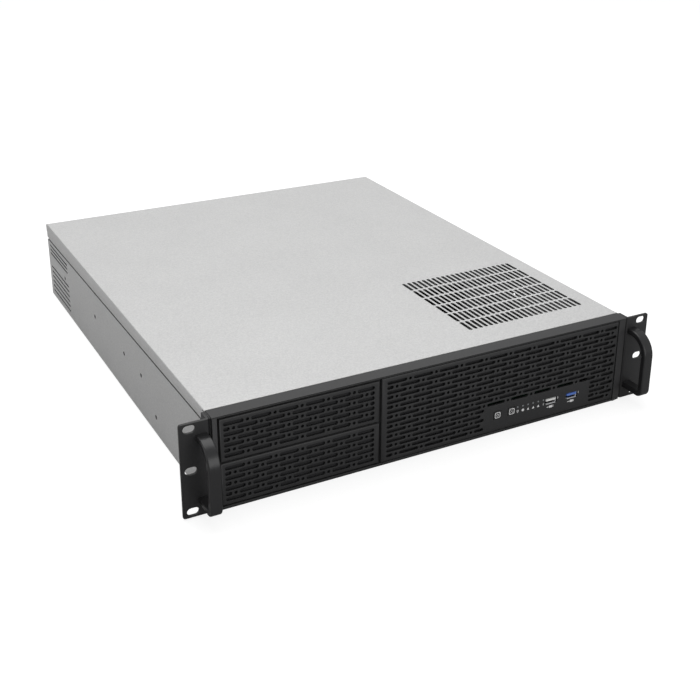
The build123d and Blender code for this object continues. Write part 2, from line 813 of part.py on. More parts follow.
# Fan wall across the case
fan_x = [(i - (fan_count - 1) / 2) * fan_pitch for i in range(fan_count)]
fan_size = hem_under - sheet - 2 * fan_clear
fan_bore = fan_size / 2 - fan_rim
fan_centre_z = (sheet + hem_under) / 2
fan_wall_half = upper_in - cable_way
fan_wall_front = front + fan_wall_at
fan_front = fan_wall_front + sheet
fan_back = fan_front + fan_depth
with BuildPart() as fan_wall:
    with BuildSketch(across(fan_wall_front)):
        with Locations((0, (sheet + hem_under) / 2)):
            Rectangle(2 * fan_wall_half, hem_under - sheet)
        with Locations([(x, fan_centre_z) for x in fan_x]):
            Circle(fan_bore, mode=Mode.SUBTRACT)
    extrude(amount=-sheet)
    box((-fan_wall_half, fan_front, sheet), (fan_wall_half, fan_front + hem, 2 * sheet))
fan_wall.part.label = "fan_wall"
export_step(fan_wall.part, "parts/fan_wall.step")

# Fans: square frame with struts and a cup that carries the shaft, rotor with pitched blades
seat_front = fan_back - fan_seat
hub_back = seat_front - lift_gap
hub_front = hub_back - fan_cup_depth
blade_root = fan_hub - 2 * blade_thickness
half_chord = blade_chord * math.cos(math.radians(blade_pitch)) / 2
blade_end = math.sqrt((fan_bore - fan_tip_gap) ** 2 - half_chord ** 2)
for number, x in enumerate(fan_x, start=1):
    with BuildPart() as fan_frame:
        with BuildSketch(across(fan_front)):
            with Locations((x, fan_centre_z)):
                Rectangle(fan_size, fan_size)
                Circle(fan_bore, mode=Mode.SUBTRACT)
        extrude(amount=-fan_depth)
        with BuildSketch(across(seat_front)):
            with Locations((x, fan_centre_z)):
                Circle(fan_hub)
                Rectangle(2 * fan_bore + 1.0, fan_strut)
                Rectangle(fan_strut, 2 * fan_bore + 1.0)
                Circle(fan_shaft + fan_shaft_gap, mode=Mode.SUBTRACT)
        extrude(amount=-fan_seat)
    fan_frame.part.label = f"fan_frame_{number}"
    export_step(fan_frame.part, f"parts/fan_frame_{number}.step")

    with BuildPart() as fan_rotor:
        with BuildSketch(across(hub_front)):
            with Locations((x, fan_centre_z)):
                Circle(fan_hub)
        extrude(amount=-fan_cup_depth)
        with BuildSketch(across(hub_back)):
            with Locations((x, fan_centre_z)):
                Circle(fan_shaft)
        extrude(amount=-(fan_seat + lift_gap))
        blade_y = (hub_front + hub_back) / 2
        for blade in range(fan_blades):
            radial = Vector(1, 0, 0).rotate(Axis.Y, blade * 360.0 / fan_blades)
            chord = Vector(0, 1, 0).rotate(Axis((0, 0, 0), tuple(radial)), 90.0 - blade_pitch)
            root = Vector(x, blade_y, fan_centre_z) + radial * blade_root
            with BuildSketch(Plane(origin=root, x_dir=chord, z_dir=radial)):
                Rectangle(blade_chord, blade_thickness)
            extrude(amount=blade_end - blade_root)
    fan_rotor.part.label = f"fan_rotor_{number}"
    export_step(fan_rotor.part, f"parts/fan_rotor_{number}.step")

# Cross brace: channel under the lid, from wall to wall
brace_front = front + brace_at
brace_back = brace_front + brace_width
brace_bottom = hem_under - brace_height
with BuildPart() as brace:
    box((-upper_in, brace_front, brace_bottom), (upper_in, brace_back, hem_under))
    box(
        (-upper_in, brace_front + sheet, brace_bottom),
        (upper_in, brace_back - sheet, hem_under - sheet),
        mode=Mode.SUBTRACT,
    )
brace.part.label = "cross_brace"
export_step(brace.part, "parts/cross_brace.step")

# Hexagonal standoffs for the main board
board_x = [-half + board_hole_side + x for x in board_hole_x]
board_y = [panel_front - board_hole_back - y for y in board_hole_y]
board_holes = [(x, y) for x in board_x for y in board_y]
with BuildPart() as standoffs:
    with BuildSketch(Plane.XY.offset(sheet)):
        with Locations(board_holes):
            RegularPolygon(standoff_flats / 2, 6, major_radius=False)
    extrude(amount=standoff_height)
    with BuildSketch(Plane.XY.offset(sheet + standoff_height)):
        with Locations(board_holes):
            Circle(standoff_bore)
    extrude(amount=-standoff_bore_depth, mode=Mode.SUBTRACT)
standoffs.part.label = "board_standoffs"
export_step(standoffs.part, "parts/board_standoffs.step")

# Rear panel: recessed field for cards, board ports window, vents, inlet hole, thumb screw holes
io_left = card_centre + card_half + io_gap
inlet_x = half - inlet_from_side
rear_vent_left = io_left + io_width + rear_vent_left_gap
rear_vent_right = inlet_x - rear_vent_right_gap
vent_slot = (rear_vent_right - rear_vent_left - rear_vent_web) / 2
card_window_height = card_ledge - card_window_bottom - card_window_margin
recess_back = panel_front - card_recess
recess_front = recess_back - sheet
side_step = lid_edge(panel_back, groove + lap)
with BuildPart() as rear_panel:
    with BuildSketch(across(panel_front)):
        Polygon(
            (-half + sheet, sheet),
            (half - sheet, sheet),
            (half - sheet, side_step),
            (upper_in, side_step),
            (upper_in, lid_under),
            (-upper_in, lid_under),
            (-upper_in, side_step),
            (-half + sheet, side_step),
        )
        with Locations((card_centre, (card_floor + card_ledge) / 2)):
            Rectangle(2 * card_half, card_ledge - card_floor, mode=Mode.SUBTRACT)
        with Locations((io_left + io_width / 2, io_bottom + io_height / 2)):
            Rectangle(io_width, io_height, mode=Mode.SUBTRACT)
        with Locations(((rear_vent_left + rear_vent_right) / 2, rear_vent_z)):
            with GridLocations(vent_slot + rear_vent_web, rear_vent_pitch, 2, rear_vent_rows):
                Rectangle(vent_slot, rear_vent_height, mode=Mode.SUBTRACT)
        with Locations((inlet_x, inlet_z)):
            Rectangle(inlet_width + 2 * lift_gap, inlet_height + 2 * lift_gap, mode=Mode.SUBTRACT)
        with Locations(thumbs):
            Circle(screw_hole, mode=Mode.SUBTRACT)
    extrude(amount=-sheet)
    with BuildSketch(across(recess_back)):
        with Locations((card_centre, (card_floor + card_ledge) / 2)):
            Rectangle(2 * card_half + 2 * sheet, card_ledge - card_floor + 2 * sheet)
            Rectangle(2 * card_half, card_ledge - card_floor, mode=Mode.SUBTRACT)
    extrude(amount=-card_recess)
    with BuildSketch(across(recess_front)):
        with Locations((card_centre, (card_floor + card_ledge) / 2)):
            Rectangle(2 * card_half + 2 * sheet, card_ledge - card_floor + 2 * sheet)
        with Locations([(x, card_window_bottom + card_window_height / 2) for x in card_slots]):
            Rectangle(card_window_width, card_window_height, mode=Mode.SUBTRACT)
    extrude(amount=-sheet)
    box((-rim_edge, panel_front - hem, hem_under), (rim_edge, panel_front, lid_under))
rear_panel.part.label = "rear_panel"
export_step(rear_panel.part, "parts/rear_panel.step")

# Blank covers over the card windows, each with a tab on the ledge, and the screws' heads on the tabs
tab_under = card_ledge + sheet
tab_top = tab_under + card_cover_thickness
with BuildPart() as slot_covers:
    for x in card_slots:
        left, right = x - card_cover_width / 2, x + card_cover_width / 2
        plate = recess_front - card_cover_thickness
        box((left, plate, card_cover_bottom), (right, recess_front, tab_top))
        box((left, recess_front, tab_under), (right, recess_front + card_tab, tab_top))
slot_covers.part.label = "slot_covers"
export_step(slot_covers.part, "parts/slot_covers.step")

with BuildPart() as slot_screws:
    with BuildSketch(Plane.XY.offset(tab_top)):
        with Locations([(x, panel_front - card_screw_in) for x in card_slots]):
            RegularPolygon(screw_head_radius, 6)
    extrude(amount=screw_head)
slot_screws.part.label = "slot_screws"
export_step(slot_screws.part, "parts/slot_screws.step")

# Mains inlet socket, snapped into the panel, with its pins
with BuildPart() as inlet:
    with BuildSketch(across(panel_back)):
        with Locations((inlet_x, inlet_z)):
            Rectangle(inlet_flange_width, inlet_flange_height)
    extrude(amount=-inlet_flange)
    with BuildSketch(across(panel_back)):
        with Locations((inlet_x, inlet_z)):
            Rectangle(inlet_width, inlet_height)
    extrude(amount=inlet_depth)
    with BuildSketch(across(panel_back + inlet_flange)) as socket:
        with Locations((inlet_x, inlet_z)):
            Rectangle(inlet_width - 2 * inlet_wall, inlet_height - 2 * inlet_wall)
        chamfer(socket.vertices().group_by(Axis.X)[0], inlet_chamfer)
    extrude(amount=inlet_cavity, mode=Mode.SUBTRACT)
inlet.part.label = "power_inlet"
export_step(inlet.part, "parts/power_inlet.step")

with BuildPart() as pins:
    pin_root = panel_back + inlet_flange - inlet_cavity
    with BuildSketch(across(pin_root)):
        with Locations(
            (inlet_x - pin_offset, inlet_z - pin_spread),
            (inlet_x + pin_offset, inlet_z),
            (inlet_x - pin_offset, inlet_z + pin_spread),
        ):
            Rectangle(pin_height, pin_width)
    extrude(amount=-pin_length)
pins.part.label = "inlet_pins"
export_step(pins.part, "parts/inlet_pins.step")

# Thumb screws through the lid's back flange into the rear panel
with BuildPart() as thumb_screws:
    with BuildSketch(across(back + lift_gap)):
        with Locations(thumbs):
            Circle(thumb_radius)
    extrude(amount=-thumb_head)
    with BuildSketch(across(back + lift_gap)):
        with Locations(thumbs):
            Circle(screw_radius)
    extrude(amount=thumb_shank)
thumb_screws.part.label = "lid_thumb_screws"
export_step(thumb_screws.part, "parts/lid_thumb_screws.step")
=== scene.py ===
import json
import math
import random
from functools import partial

import bmesh
import bpy
from mathutils import Matrix, Vector


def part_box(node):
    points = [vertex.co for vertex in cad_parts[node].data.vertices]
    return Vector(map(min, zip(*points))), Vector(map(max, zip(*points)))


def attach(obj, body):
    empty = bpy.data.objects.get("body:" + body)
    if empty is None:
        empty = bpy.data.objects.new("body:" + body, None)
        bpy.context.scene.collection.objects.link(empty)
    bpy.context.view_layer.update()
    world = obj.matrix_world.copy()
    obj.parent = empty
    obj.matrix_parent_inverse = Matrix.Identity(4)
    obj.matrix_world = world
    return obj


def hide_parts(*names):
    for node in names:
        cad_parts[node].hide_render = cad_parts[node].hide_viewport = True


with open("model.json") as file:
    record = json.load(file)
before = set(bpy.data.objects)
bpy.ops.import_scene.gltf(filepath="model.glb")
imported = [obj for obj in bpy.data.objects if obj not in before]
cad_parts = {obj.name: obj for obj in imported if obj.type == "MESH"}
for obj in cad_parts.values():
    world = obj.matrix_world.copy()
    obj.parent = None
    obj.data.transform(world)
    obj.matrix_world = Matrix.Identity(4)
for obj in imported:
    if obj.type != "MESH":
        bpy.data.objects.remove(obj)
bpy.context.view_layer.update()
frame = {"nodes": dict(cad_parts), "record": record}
nodes = frame["nodes"]
mm = 0.001
print("frame loaded:", len(nodes), "nodes")

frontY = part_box("front_bezel")[0].y  # face of the fascia

# what the photo's camera was fitted to
viewSet = {
    "lens": 1127.4,  # pixels, in a 700 pixel frame
    "frame": 700,
    "centre": (364.0, 268.0),
    "azimuth": -28.68,
    "elevation": 21.42,
    "roll": 0.545,
    "place": (-488.2, -752.3, 528.7),  # mm, from the middle of the fascia's lower front edge
    "sensor": 36.0,
    "clip": 0.01,
}


def showObject(name, data):
    shown = bpy.data.objects.new(name, data)
    bpy.context.scene.collection.objects.link(shown)
    return shown


def makeCamera():
    turn, rise, roll = (math.radians(viewSet[k]) for k in ("azimuth", "elevation", "roll"))
    back = Vector((math.sin(turn) * math.cos(rise), -math.cos(turn) * math.cos(rise), math.sin(rise)))
    right = Vector((math.cos(turn), math.sin(turn), 0))
    up = back.cross(right)
    leaned = right * math.cos(roll) + up * math.sin(roll)
    raised = up * math.cos(roll) - right * math.sin(roll)
    camera = bpy.data.cameras.new("camera")
    camera.sensor_width = viewSet["sensor"]
    camera.lens = viewSet["lens"] / viewSet["frame"] * viewSet["sensor"]
    camera.shift_x = (viewSet["frame"] / 2 - viewSet["centre"][0]) / viewSet["frame"]
    camera.shift_y = (viewSet["centre"][1] - viewSet["frame"] / 2) / viewSet["frame"]
    camera.clip_start = viewSet["clip"]
    axes = Matrix((leaned, raised, back)).transposed().to_4x4()
    place = Vector(viewSet["place"]) * mm + Vector((0, frontY, 0))
    holder = showObject("camera", camera)
    holder.matrix_world = Matrix.Translation(place) @ axes
    bpy.context.scene.camera = holder


makeCamera()

lampSet = {
    "top": {"place": (0.1, 0.5, 1.6), "aim": (0, 0.05, 0), "size": 1.8, "power": 17.5},
    "front": {"place": (0.25, -1.75, 0.36), "aim": (0, -0.2, 0.04), "size": 1.2, "power": 7.5},
    "left": {"place": (-1.7, 0.3, 0.5), "aim": (-0.2, 0, 0.05), "size": 1.0, "power": 2.2},
}
skySet = {"light": 0.51, "seen": 1.0}  # what the sky gives the case, and how bright it looks


def makeLights():
    for name, lamp in lampSet.items():
        light = bpy.data.lights.new(name, "AREA")
        light.shape = "SQUARE"
        light.size = lamp["size"]
        light.energy = lamp["power"]
        place, aim = Vector(lamp["place"]), Vector(lamp["aim"])
        turned = (place - aim).to_track_quat("Z", "Y").to_matrix().to_4x4()
        showObject(name, light).matrix_world = Matrix.Translation(place) @ turned


def addNode(tree, kind, inputs=None, **settings):
    node = tree.nodes.new(kind)
    for key, value in settings.items():
        setattr(node, key, value)
    for key, value in (inputs or {}).items():
        if isinstance(value, bpy.types.NodeSocket):
            tree.links.new(value, node.inputs[key])
        else:
            node.inputs[key].default_value = value
    return node


def outOf(tree, kind, inputs=None, **settings):
    return addNode(tree, kind, inputs, **settings).outputs[0]


def calc(tree, operation, *values):
    return outOf(tree, "ShaderNodeMath", dict(enumerate(values)), operation=operation)


def sums(tree, *operations):
    # one short function for each kind of sum
    return [partial(calc, tree, operation) for operation in operations]


def makeSky():
    world = bpy.data.worlds.new("sky")
    bpy.context.scene.world = world
    world.use_nodes = True
    tree = world.node_tree
    tree.nodes.clear()
    path = addNode(tree, "ShaderNodeLightPath")
    light, seen = (outOf(tree, "ShaderNodeBackground", {"Color": (1, 1, 1, 1), "Strength": skySet[key]})
                   for key in ("light", "seen"))
    mix = outOf(tree, "ShaderNodeMixShader", {0: path.outputs["Is Camera Ray"], 1: light, 2: seen})
    addNode(tree, "ShaderNodeOutputWorld", {"Surface": mix})


floorSet = {"half": 6.0, "colour": 0.38, "glow": 0.79}


def makeFloor():
    mesh = bpy.data.meshes.new("floor")
    half = floorSet["half"]
    corners = [(-half, -half, 0), (half, -half, 0), (half, half, 0), (-half, half, 0)]
    mesh.from_pydata(corners, [], [(0, 1, 2, 3)])
    floor = showObject("floor", mesh)
    paint = bpy.data.materials.new("floorPaint")
    paint.use_nodes = True
    tree = paint.node_tree
    tree.nodes.clear()
    diffuse = outOf(tree, "ShaderNodeBsdfDiffuse", {"Color": (floorSet["colour"],) * 3 + (1,)})
    path = addNode(tree, "ShaderNodeLightPath")
    level = calc(tree, "MULTIPLY", path.outputs["Is Camera Ray"], floorSet["glow"])
    glow = outOf(tree, "ShaderNodeEmission", {"Strength": level})
    both = outOf(tree, "ShaderNodeAddShader", {0: diffuse, 1: glow})
    addNode(tree, "ShaderNodeOutputMaterial", {"Surface": both})
    mesh.materials.append(paint)


makeLights()
makeSky()
makeFloor()
bpy.context.scene.view_settings.view_transform = "Standard"
print("camera, lights and floor ready")


def newGroup(name, kind, inputs, outputs):
    # inputs and outputs give the labels for each kind of socket
    group = bpy.data.node_groups.new(name, kind)
    for way, sockets in (("INPUT", inputs), ("OUTPUT", outputs)):
        for socket, labels in sockets.items():
            for label in labels:
                group.interface.new_socket(label, in_out=way, socket_type="NodeSocket" + socket)
    return group, group.nodes.new("NodeGroupInput").outputs, group.nodes.new("NodeGroupOutput")


# two surface patterns: how much of the mask the fine part makes, and the detail of the noises
grainSet = {
    "fineGrain": {"share": 0.6, "detail": 2.0, "cloudDetail": 3.0},
    "zincSpangle": {"share": 0.65, "cloudDetail": 4.0},
}


def makeGrainGroup(name, crystals):
    # fine moulded grain, or the flat grey crystals of a zinc coat, with soft clouds over it:
    # a mask for colour and gloss, and a height for bump
    look = grainSet[name]
    group, given, out = newGroup(
        name, "ShaderNodeTree", {"Float": ("Scale", "Cloud Scale")}, {"Float": ("Mask", "Height")})
    plus, times = sums(group, "ADD", "MULTIPLY")
    place = addNode(group, "ShaderNodeTexCoord").outputs["Object"]
    if crystals:
        cells = addNode(group, "ShaderNodeTexVoronoi", {"Vector": place, "Scale": given["Scale"]})
        fine = outOf(group, "ShaderNodeSeparateColor", {"Color": cells.outputs["Color"]})
        height = cells.outputs["Distance"]
    else:
        fine = height = outOf(group, "ShaderNodeTexNoise",
                              {"Vector": place, "Scale": given["Scale"], "Detail": look["detail"]})
    cloud = outOf(group, "ShaderNodeTexNoise",
                  {"Vector": place, "Scale": given["Cloud Scale"], "Detail": look["cloudDetail"]})
    both = plus(times(fine, look["share"]), times(cloud, 1 - look["share"]))
    group.links.new(both, out.inputs["Mask"])
    group.links.new(height, out.inputs["Height"])
    return group


grain = makeGrainGroup("fineGrain", False)
zinc = makeGrainGroup("zincSpangle", True)

# one finish for each material slot of the case: surface pattern, dark and light tone, least and most
# roughness, metal, fineness of the pattern and of its clouds, and strength of the bump
finishSet = {
    "case_steel": (zinc, (0.56, 0.56, 0.56), (0.70, 0.70, 0.695), (0.42, 0.56), 0.35, 850, 14, 0.08),
    # bare_steel: the inside's zinc steel, kept darker than case_steel as painted shade for the case's inside
    "bare_steel": (zinc, (0.30, 0.31, 0.32), (0.37, 0.37, 0.38), (0.45, 0.58), 0.4, 500, 20, 0.06),
    "fascia_plastic": (grain, (0.021, 0.021, 0.022), (0.029, 0.029, 0.030), (0.42, 0.52), 0, 2600, 60, 0.10),
    "ear_steel": (grain, (0.018, 0.018, 0.019), (0.024, 0.024, 0.025), (0.40, 0.50), 0, 1500, 40, 0.12),
    "handle_alloy": (grain, (0.015, 0.015, 0.016), (0.021, 0.021, 0.022), (0.26, 0.34), 0, 1500, 50, 0.08),
    "button_plastic": (grain, (0.020, 0.020, 0.021), (0.026, 0.026, 0.027), (0.30, 0.40), 0, 2600, 60, 0.05),
    "lens_plastic": (grain, (0.20, 0.21, 0.22), (0.30, 0.31, 0.32), (0.15, 0.25), 0, 900, 80, 0.02),
    "filter_foam": (grain, (0.011, 0.011, 0.012), (0.028, 0.028, 0.030), (0.85, 0.95), 0, 1200, 400, 0.8),
    "socket_steel": (zinc, (0.76, 0.77, 0.79), (0.86, 0.87, 0.89), (0.30, 0.40), 0.4, 900, 60, 0.02),
    "tongue_white": (grain, (0.86, 0.86, 0.84), (0.92, 0.92, 0.90), (0.35, 0.45), 0, 1500, 90, 0.03),
    "tongue_blue": (grain, (0.10, 0.20, 0.62), (0.13, 0.25, 0.70), (0.35, 0.45), 0, 1500, 90, 0.03),
    "board_laminate": (grain, (0.008, 0.045, 0.022), (0.012, 0.060, 0.030), (0.30, 0.42), 0, 700, 60, 0.05),
    "switch_plastic": (grain, (0.018, 0.018, 0.018), (0.028, 0.028, 0.028), (0.38, 0.5), 0, 1800, 80, 0.06),
    "fan_plastic": (grain, (0.014, 0.014, 0.015), (0.021, 0.021, 0.022), (0.36, 0.48), 0, 1800, 60, 0.06),
    "brass": (grain, (0.60, 0.43, 0.16), (0.72, 0.54, 0.24), (0.25, 0.36), 1.0, 1400, 120, 0.05),
    "screw_steel": (zinc, (0.46, 0.46, 0.47), (0.58, 0.58, 0.59), (0.28, 0.40), 0.9, 1400, 120, 0.04),
    "print_white": (grain, (0.80, 0.80, 0.80), (0.90, 0.90, 0.90), (0.5, 0.6), 0, 3000, 300, 0.02),
}
# punched vent edges and the pan's ledge under the lid's flange, darkened: bare steel is a little duller, and
# the near-black tone is painted shade; their tone, how far each piece's go to it, and how upright they stand
dullShadeSet = {"finish": "case_steel", "tone": (0.06, 0.06, 0.06), "vent": 1.0, "pan": 0.8, "upright": 0.5}
bumpReach = 0.0002


def mixTones(tree, share, first, second):
    return addNode(tree, "ShaderNodeMix", {0: share, 6: first, 7: second}, data_type="RGBA").outputs[2]


def makeFinish(name, look):
    group, dark, light, rough, metallic, scale, cloud, strength = look
    material = bpy.data.materials.new(name)
    material.use_nodes = True
    tree = material.node_tree
    shader = tree.nodes["Principled BSDF"]
    shader.inputs["Metallic"].default_value = metallic
    pattern = addNode(tree, "ShaderNodeGroup", {"Scale": scale, "Cloud Scale": cloud}, node_tree=group)
    mask, height = pattern.outputs["Mask"], pattern.outputs["Height"]
    colour = mixTones(tree, mask, (*dark, 1), (*light, 1))
    if name == dullShadeSet["finish"]:
        # a punched edge has no zinc, so it is a little duller; most of this darkening is painted shade in
        # the slots and in the flange's groove
        dullShade = addNode(tree, "ShaderNodeAttribute", attribute_name="dullShade").outputs["Fac"]
        colour = mixTones(tree, dullShade, colour, (*dullShadeSet["tone"], 1))
    tree.links.new(colour, shader.inputs["Base Color"])
    gloss = outOf(tree, "ShaderNodeMapRange", {0: mask, 3: rough[0], 4: rough[1]})
    tree.links.new(gloss, shader.inputs["Roughness"])
    bump = outOf(tree, "ShaderNodeBump", {"Strength": strength, "Distance": bumpReach, "Height": height})
    tree.links.new(bump, shader.inputs["Normal"])
    return material


finishes = {name: makeFinish(name, look) for name, look in finishSet.items()}
bodies = frame["record"]["behaviour"]["bodies"]
bodyOf = {node: body for body, members in bodies.items() for node in members}
slotOf = {part["node"]: part["material_slot"] for part in frame["record"]["subparts"]}
for node, slot in slotOf.items():
    nodes[node].data.materials.clear()
    nodes[node].data.materials.append(finishes[slot])
print("finishes ready:", len(finishes))


def joinAll(tree, *shapes):
    joined = addNode(tree, "GeometryNodeJoinGeometry")
    for shape in shapes:
        tree.links.new(shape, joined.inputs[0])
    return joined.outputs[0]


def endTree(tree, shape, given, out):
    # makes the shape's copies real and gives it its finish
    solid = outOf(tree, "GeometryNodeRealizeInstances", {0: shape})
    done = outOf(tree, "GeometryNodeSetMaterial", {"Geometry": solid, "Material": given["Material"]})
    tree.links.new(done, out.inputs[0])
    return tree


treeSet = {
    "slotCorners": 12, "dotCorners": 8,
    "dotMargin": 1.6,  # dot radii that a dot keeps from the ends of its row
    "leastDot": 0.01,
    "far": 10000.0,  # beyond every plate
    "weld": 0.001, "screwWeld": 0.0005,
}


def makePlateTree():
    # a plate with rows of round-ended slots and dots, grown flat and set upright by its maker
    tree, given, out = newGroup(
        "slottedPlate", "GeometryNodeTree",
        {"Geometry": ["Cuts"],
         "Float": ("Left", "Right", "Bottom", "Top", "Depth", "First Slot", "Last Slot", "First Row",
                   "Row Pitch", "Period", "Slot Length", "Slot Height", "Stagger", "Least Slot",
                   "Dot Radius", "Field Left", "Field Right"),
         "Int": ("Rows", "Per Row", "Field Row"), "Material": ["Material"]},
        {"Geometry": ["Plate"]},
    )
    grow = partial(outOf, tree)
    plus, minus, times, over, rest = sums(tree, "ADD", "SUBTRACT", "MULTIPLY", "DIVIDE", "MODULO")
    lesser, greater, below, above = sums(tree, "MINIMUM", "MAXIMUM", "LESS_THAN", "GREATER_THAN")

    index = grow("GeometryNodeInputIndex")
    row = calc(tree, "FLOOR", over(index, given["Per Row"]))
    column = rest(index, given["Per Row"])
    height = minus(given["First Row"], times(row, given["Row Pitch"]))
    shift = times(rest(row, 2.0), given["Stagger"])
    start = plus(plus(given["First Slot"], shift), times(column, given["Period"]))
    end = plus(start, given["Slot Length"])
    low = greater(start, given["First Slot"])
    high = lesser(end, given["Last Slot"])
    inField = above(row, minus(given["Field Row"], 0.5))
    far = treeSet["far"]
    leftEnd = lesser(high, plus(given["Field Left"], minus(far, times(inField, far))))
    rightStart = greater(low, given["Field Right"])
    count = times(given["Rows"], given["Per Row"])

    def store(shape, name, value):
        return grow("GeometryNodeStoreNamedAttribute", {"Geometry": shape, "Name": name, "Value": value})

    def ring(radius, corners):
        # stands on a flat side, with every corner marked by the side it is on
        circle = grow("GeometryNodeCurvePrimitiveCircle", {"Resolution": corners, "Radius": radius})
        turned = grow("GeometryNodeTransform", {"Geometry": circle, "Rotation": (0, 0, math.pi / corners)})
        across = grow("ShaderNodeSeparateXYZ", {0: grow("GeometryNodeInputPosition")})
        return store(turned, "side", calc(tree, "SIGN", across))

    def scatter(a, b, missing, shape):
        # one ring at the middle of each span from a to b, stretched to its length
        spot = grow("ShaderNodeCombineXYZ", {0: times(plus(a, b), 0.5), 1: height})
        points = grow("GeometryNodePoints", {"Count": count, "Position": spot})
        straight = minus(times(minus(b, a), 0.5), times(given["Slot Height"], 0.5))
        stored = store(points, "reach", greater(straight, 0.0))
        kept = grow("GeometryNodeDeleteGeometry",
                    {"Geometry": stored, "Selection": missing}, domain="POINT")
        return grow("GeometryNodeInstanceOnPoints", {"Points": kept, "Instance": shape})

    def tooShort(a, b):
        return below(minus(b, a), given["Least Slot"])

    corners = treeSet["slotCorners"]
    flat = math.cos(math.pi / corners)  # the ring's straight sides lie this share of its radius out
    slot = ring(over(given["Slot Height"], 2 * flat), corners)
    left = scatter(low, leftEnd, tooShort(low, leftEnd), slot)
    right = scatter(rightStart, high, plus(tooShort(rightStart, high), minus(1.0, inField)), slot)

    # a dot in the middle of every gap
    dotAt = plus(end, times(minus(given["Period"], given["Slot Length"]), 0.5))
    margin = times(given["Dot Radius"], treeSet["dotMargin"])
    before, after = minus(dotAt, margin), plus(dotAt, margin)
    outside = plus(below(before, given["First Slot"]), above(after, given["Last Slot"]))
    inside = times(times(above(after, given["Field Left"]), below(before, given["Field Right"])), inField)
    off = plus(outside, plus(inside, below(given["Dot Radius"], treeSet["leastDot"])))
    dotHalf = times(given["Slot Height"], 0.5)
    dot = ring(given["Dot Radius"], treeSet["dotCorners"])
    dots = scatter(minus(dotAt, dotHalf), plus(dotAt, dotHalf), off, dot)

    holes = grow("GeometryNodeRealizeInstances", {0: joinAll(tree, left, right, dots)})
    side, reach = (grow("GeometryNodeInputNamedAttribute", {"Name": name}) for name in ("side", "reach"))
    stretch = grow("ShaderNodeCombineXYZ", {0: times(side, reach)})
    stretched = grow("GeometryNodeSetPosition", {"Geometry": holes, "Offset": stretch})

    # the plate's own outline
    wide, tall = minus(given["Right"], given["Left"]), minus(given["Top"], given["Bottom"])
    square = grow("GeometryNodeCurvePrimitiveQuadrilateral", {"Width": wide, "Height": tall})
    x, y = (times(plus(given[a], given[b]), 0.5) for a, b in (("Left", "Right"), ("Bottom", "Top")))
    centre = grow("ShaderNodeCombineXYZ", {0: x, 1: y})
    outline = grow("GeometryNodeTransform", {"Geometry": square, "Translation": centre})
    cuts = grow("GeometryNodeMeshToCurve", {0: given["Cuts"]})

    skin = grow("GeometryNodeFillCurve", {0: joinAll(tree, outline, stretched, cuts)})
    drop = grow("ShaderNodeCombineXYZ", {2: times(given["Depth"], -1.0)})
    deep = grow("GeometryNodeExtrudeMesh", {"Mesh": skin, "Offset": drop, "Individual": False})
    both = joinAll(tree, skin, grow("GeometryNodeFlipFaces", {0: deep}))
    whole = grow("GeometryNodeMergeByDistance", {"Geometry": both, "Distance": treeSet["weld"]})
    return endTree(tree, whole, given, out)


plateTree = makePlateTree()
upright = Matrix.Rotation(math.pi / 2, 4, "X")  # flat x, y become X, Z, facing the front


def placeAt(x=0.0, y=0.0, z=0.0, turn=None):
    return Matrix.Translation((x * mm, y * mm, z * mm)) @ (turn or Matrix()) @ Matrix.Scale(mm, 4)


def loopMesh(name, loops):
    # closed outlines in the plate's flat frame
    mesh = bpy.data.meshes.new(name)
    spots, edges = [], []
    for loop in loops:
        first = len(spots)
        spots += [(x, y, 0) for x, y in loop]
        edges += [(first + i, first + (i + 1) % len(loop)) for i in range(len(loop))]
    mesh.from_pydata(spots, edges, [])
    return mesh


def bakeObject(piece):
    # the evaluated mesh of an object in its own frame, free of modifiers
    bpy.context.view_layer.update()
    shaped = piece.evaluated_get(bpy.context.evaluated_depsgraph_get())
    mesh = bpy.data.meshes.new_from_object(shaped)
    piece.modifiers.clear()
    old = piece.data
    piece.data = mesh
    bpy.data.meshes.remove(old)


def growTree(name, tree, values, loops=()):
    piece = showObject(name, loopMesh(name, loops))
    grow = piece.modifiers.new("grow", "NODES")
    grow.node_group = tree
    for item in tree.interface.items_tree:
        if item.in_out == "INPUT" and item.name in values:
            grow[item.identifier] = values[item.name]
    bakeObject(piece)
    return piece


def weighEdges(mesh, box, rim, inner):
    # bevel weights: the plate's own outline against the edges of its slots
    left, right, bottom, top = box
    near, corner = 0.02, 1.0  # mm and radians
    work = bmesh.new()
    work.from_mesh(mesh)
    layer = work.edges.layers.float.new("bevel_weight_edge")
    for edge in work.edges:
        if len(edge.link_faces) != 2 or edge.calc_face_angle() < corner:
            continue
        a, b = (v.co for v in edge.verts)
        if abs(a.z) > near or abs(b.z) > near:
            continue  # only the front face's edges
        onSide = any(abs(a.x - x) < near and abs(b.x - x) < near for x in (left, right))
        onEnd = any(abs(a.y - y) < near and abs(b.y - y) < near for y in (bottom, top))
        edge[layer] = rim if onSide or onEnd else inner
    work.to_mesh(mesh)
    work.free()


def easeEdges(piece, width, steps, method, **settings):
    bevel = piece.modifiers.new("soften", "BEVEL")
    bevel.limit_method = method
    bevel.width = width
    bevel.segments = steps
    bevel.use_clamp_overlap = False
    for key, value in settings.items():
        setattr(bevel, key, value)
    bakeObject(piece)


def softenRims(piece, box, width, rim, inner, steps=1):
    weighEdges(piece.data, box, rim / width, inner / width)
    easeEdges(piece, width, steps, "WEIGHT")


def settle(piece, matrix, body, *replaced):
    # puts the piece's place into its mesh, and ties it to its body
    piece.data.transform(matrix)
    piece.data.update()
    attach(piece, body)
    if replaced:
        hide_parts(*replaced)


# a plate whose own dictionary says no more has straight rows, no dots and no smooth field
plainSet = {"stagger": 0.0, "dot": 0.0, "fieldLeft": 1000.0, "fieldRight": 2000.0, "fieldRow": 1000}


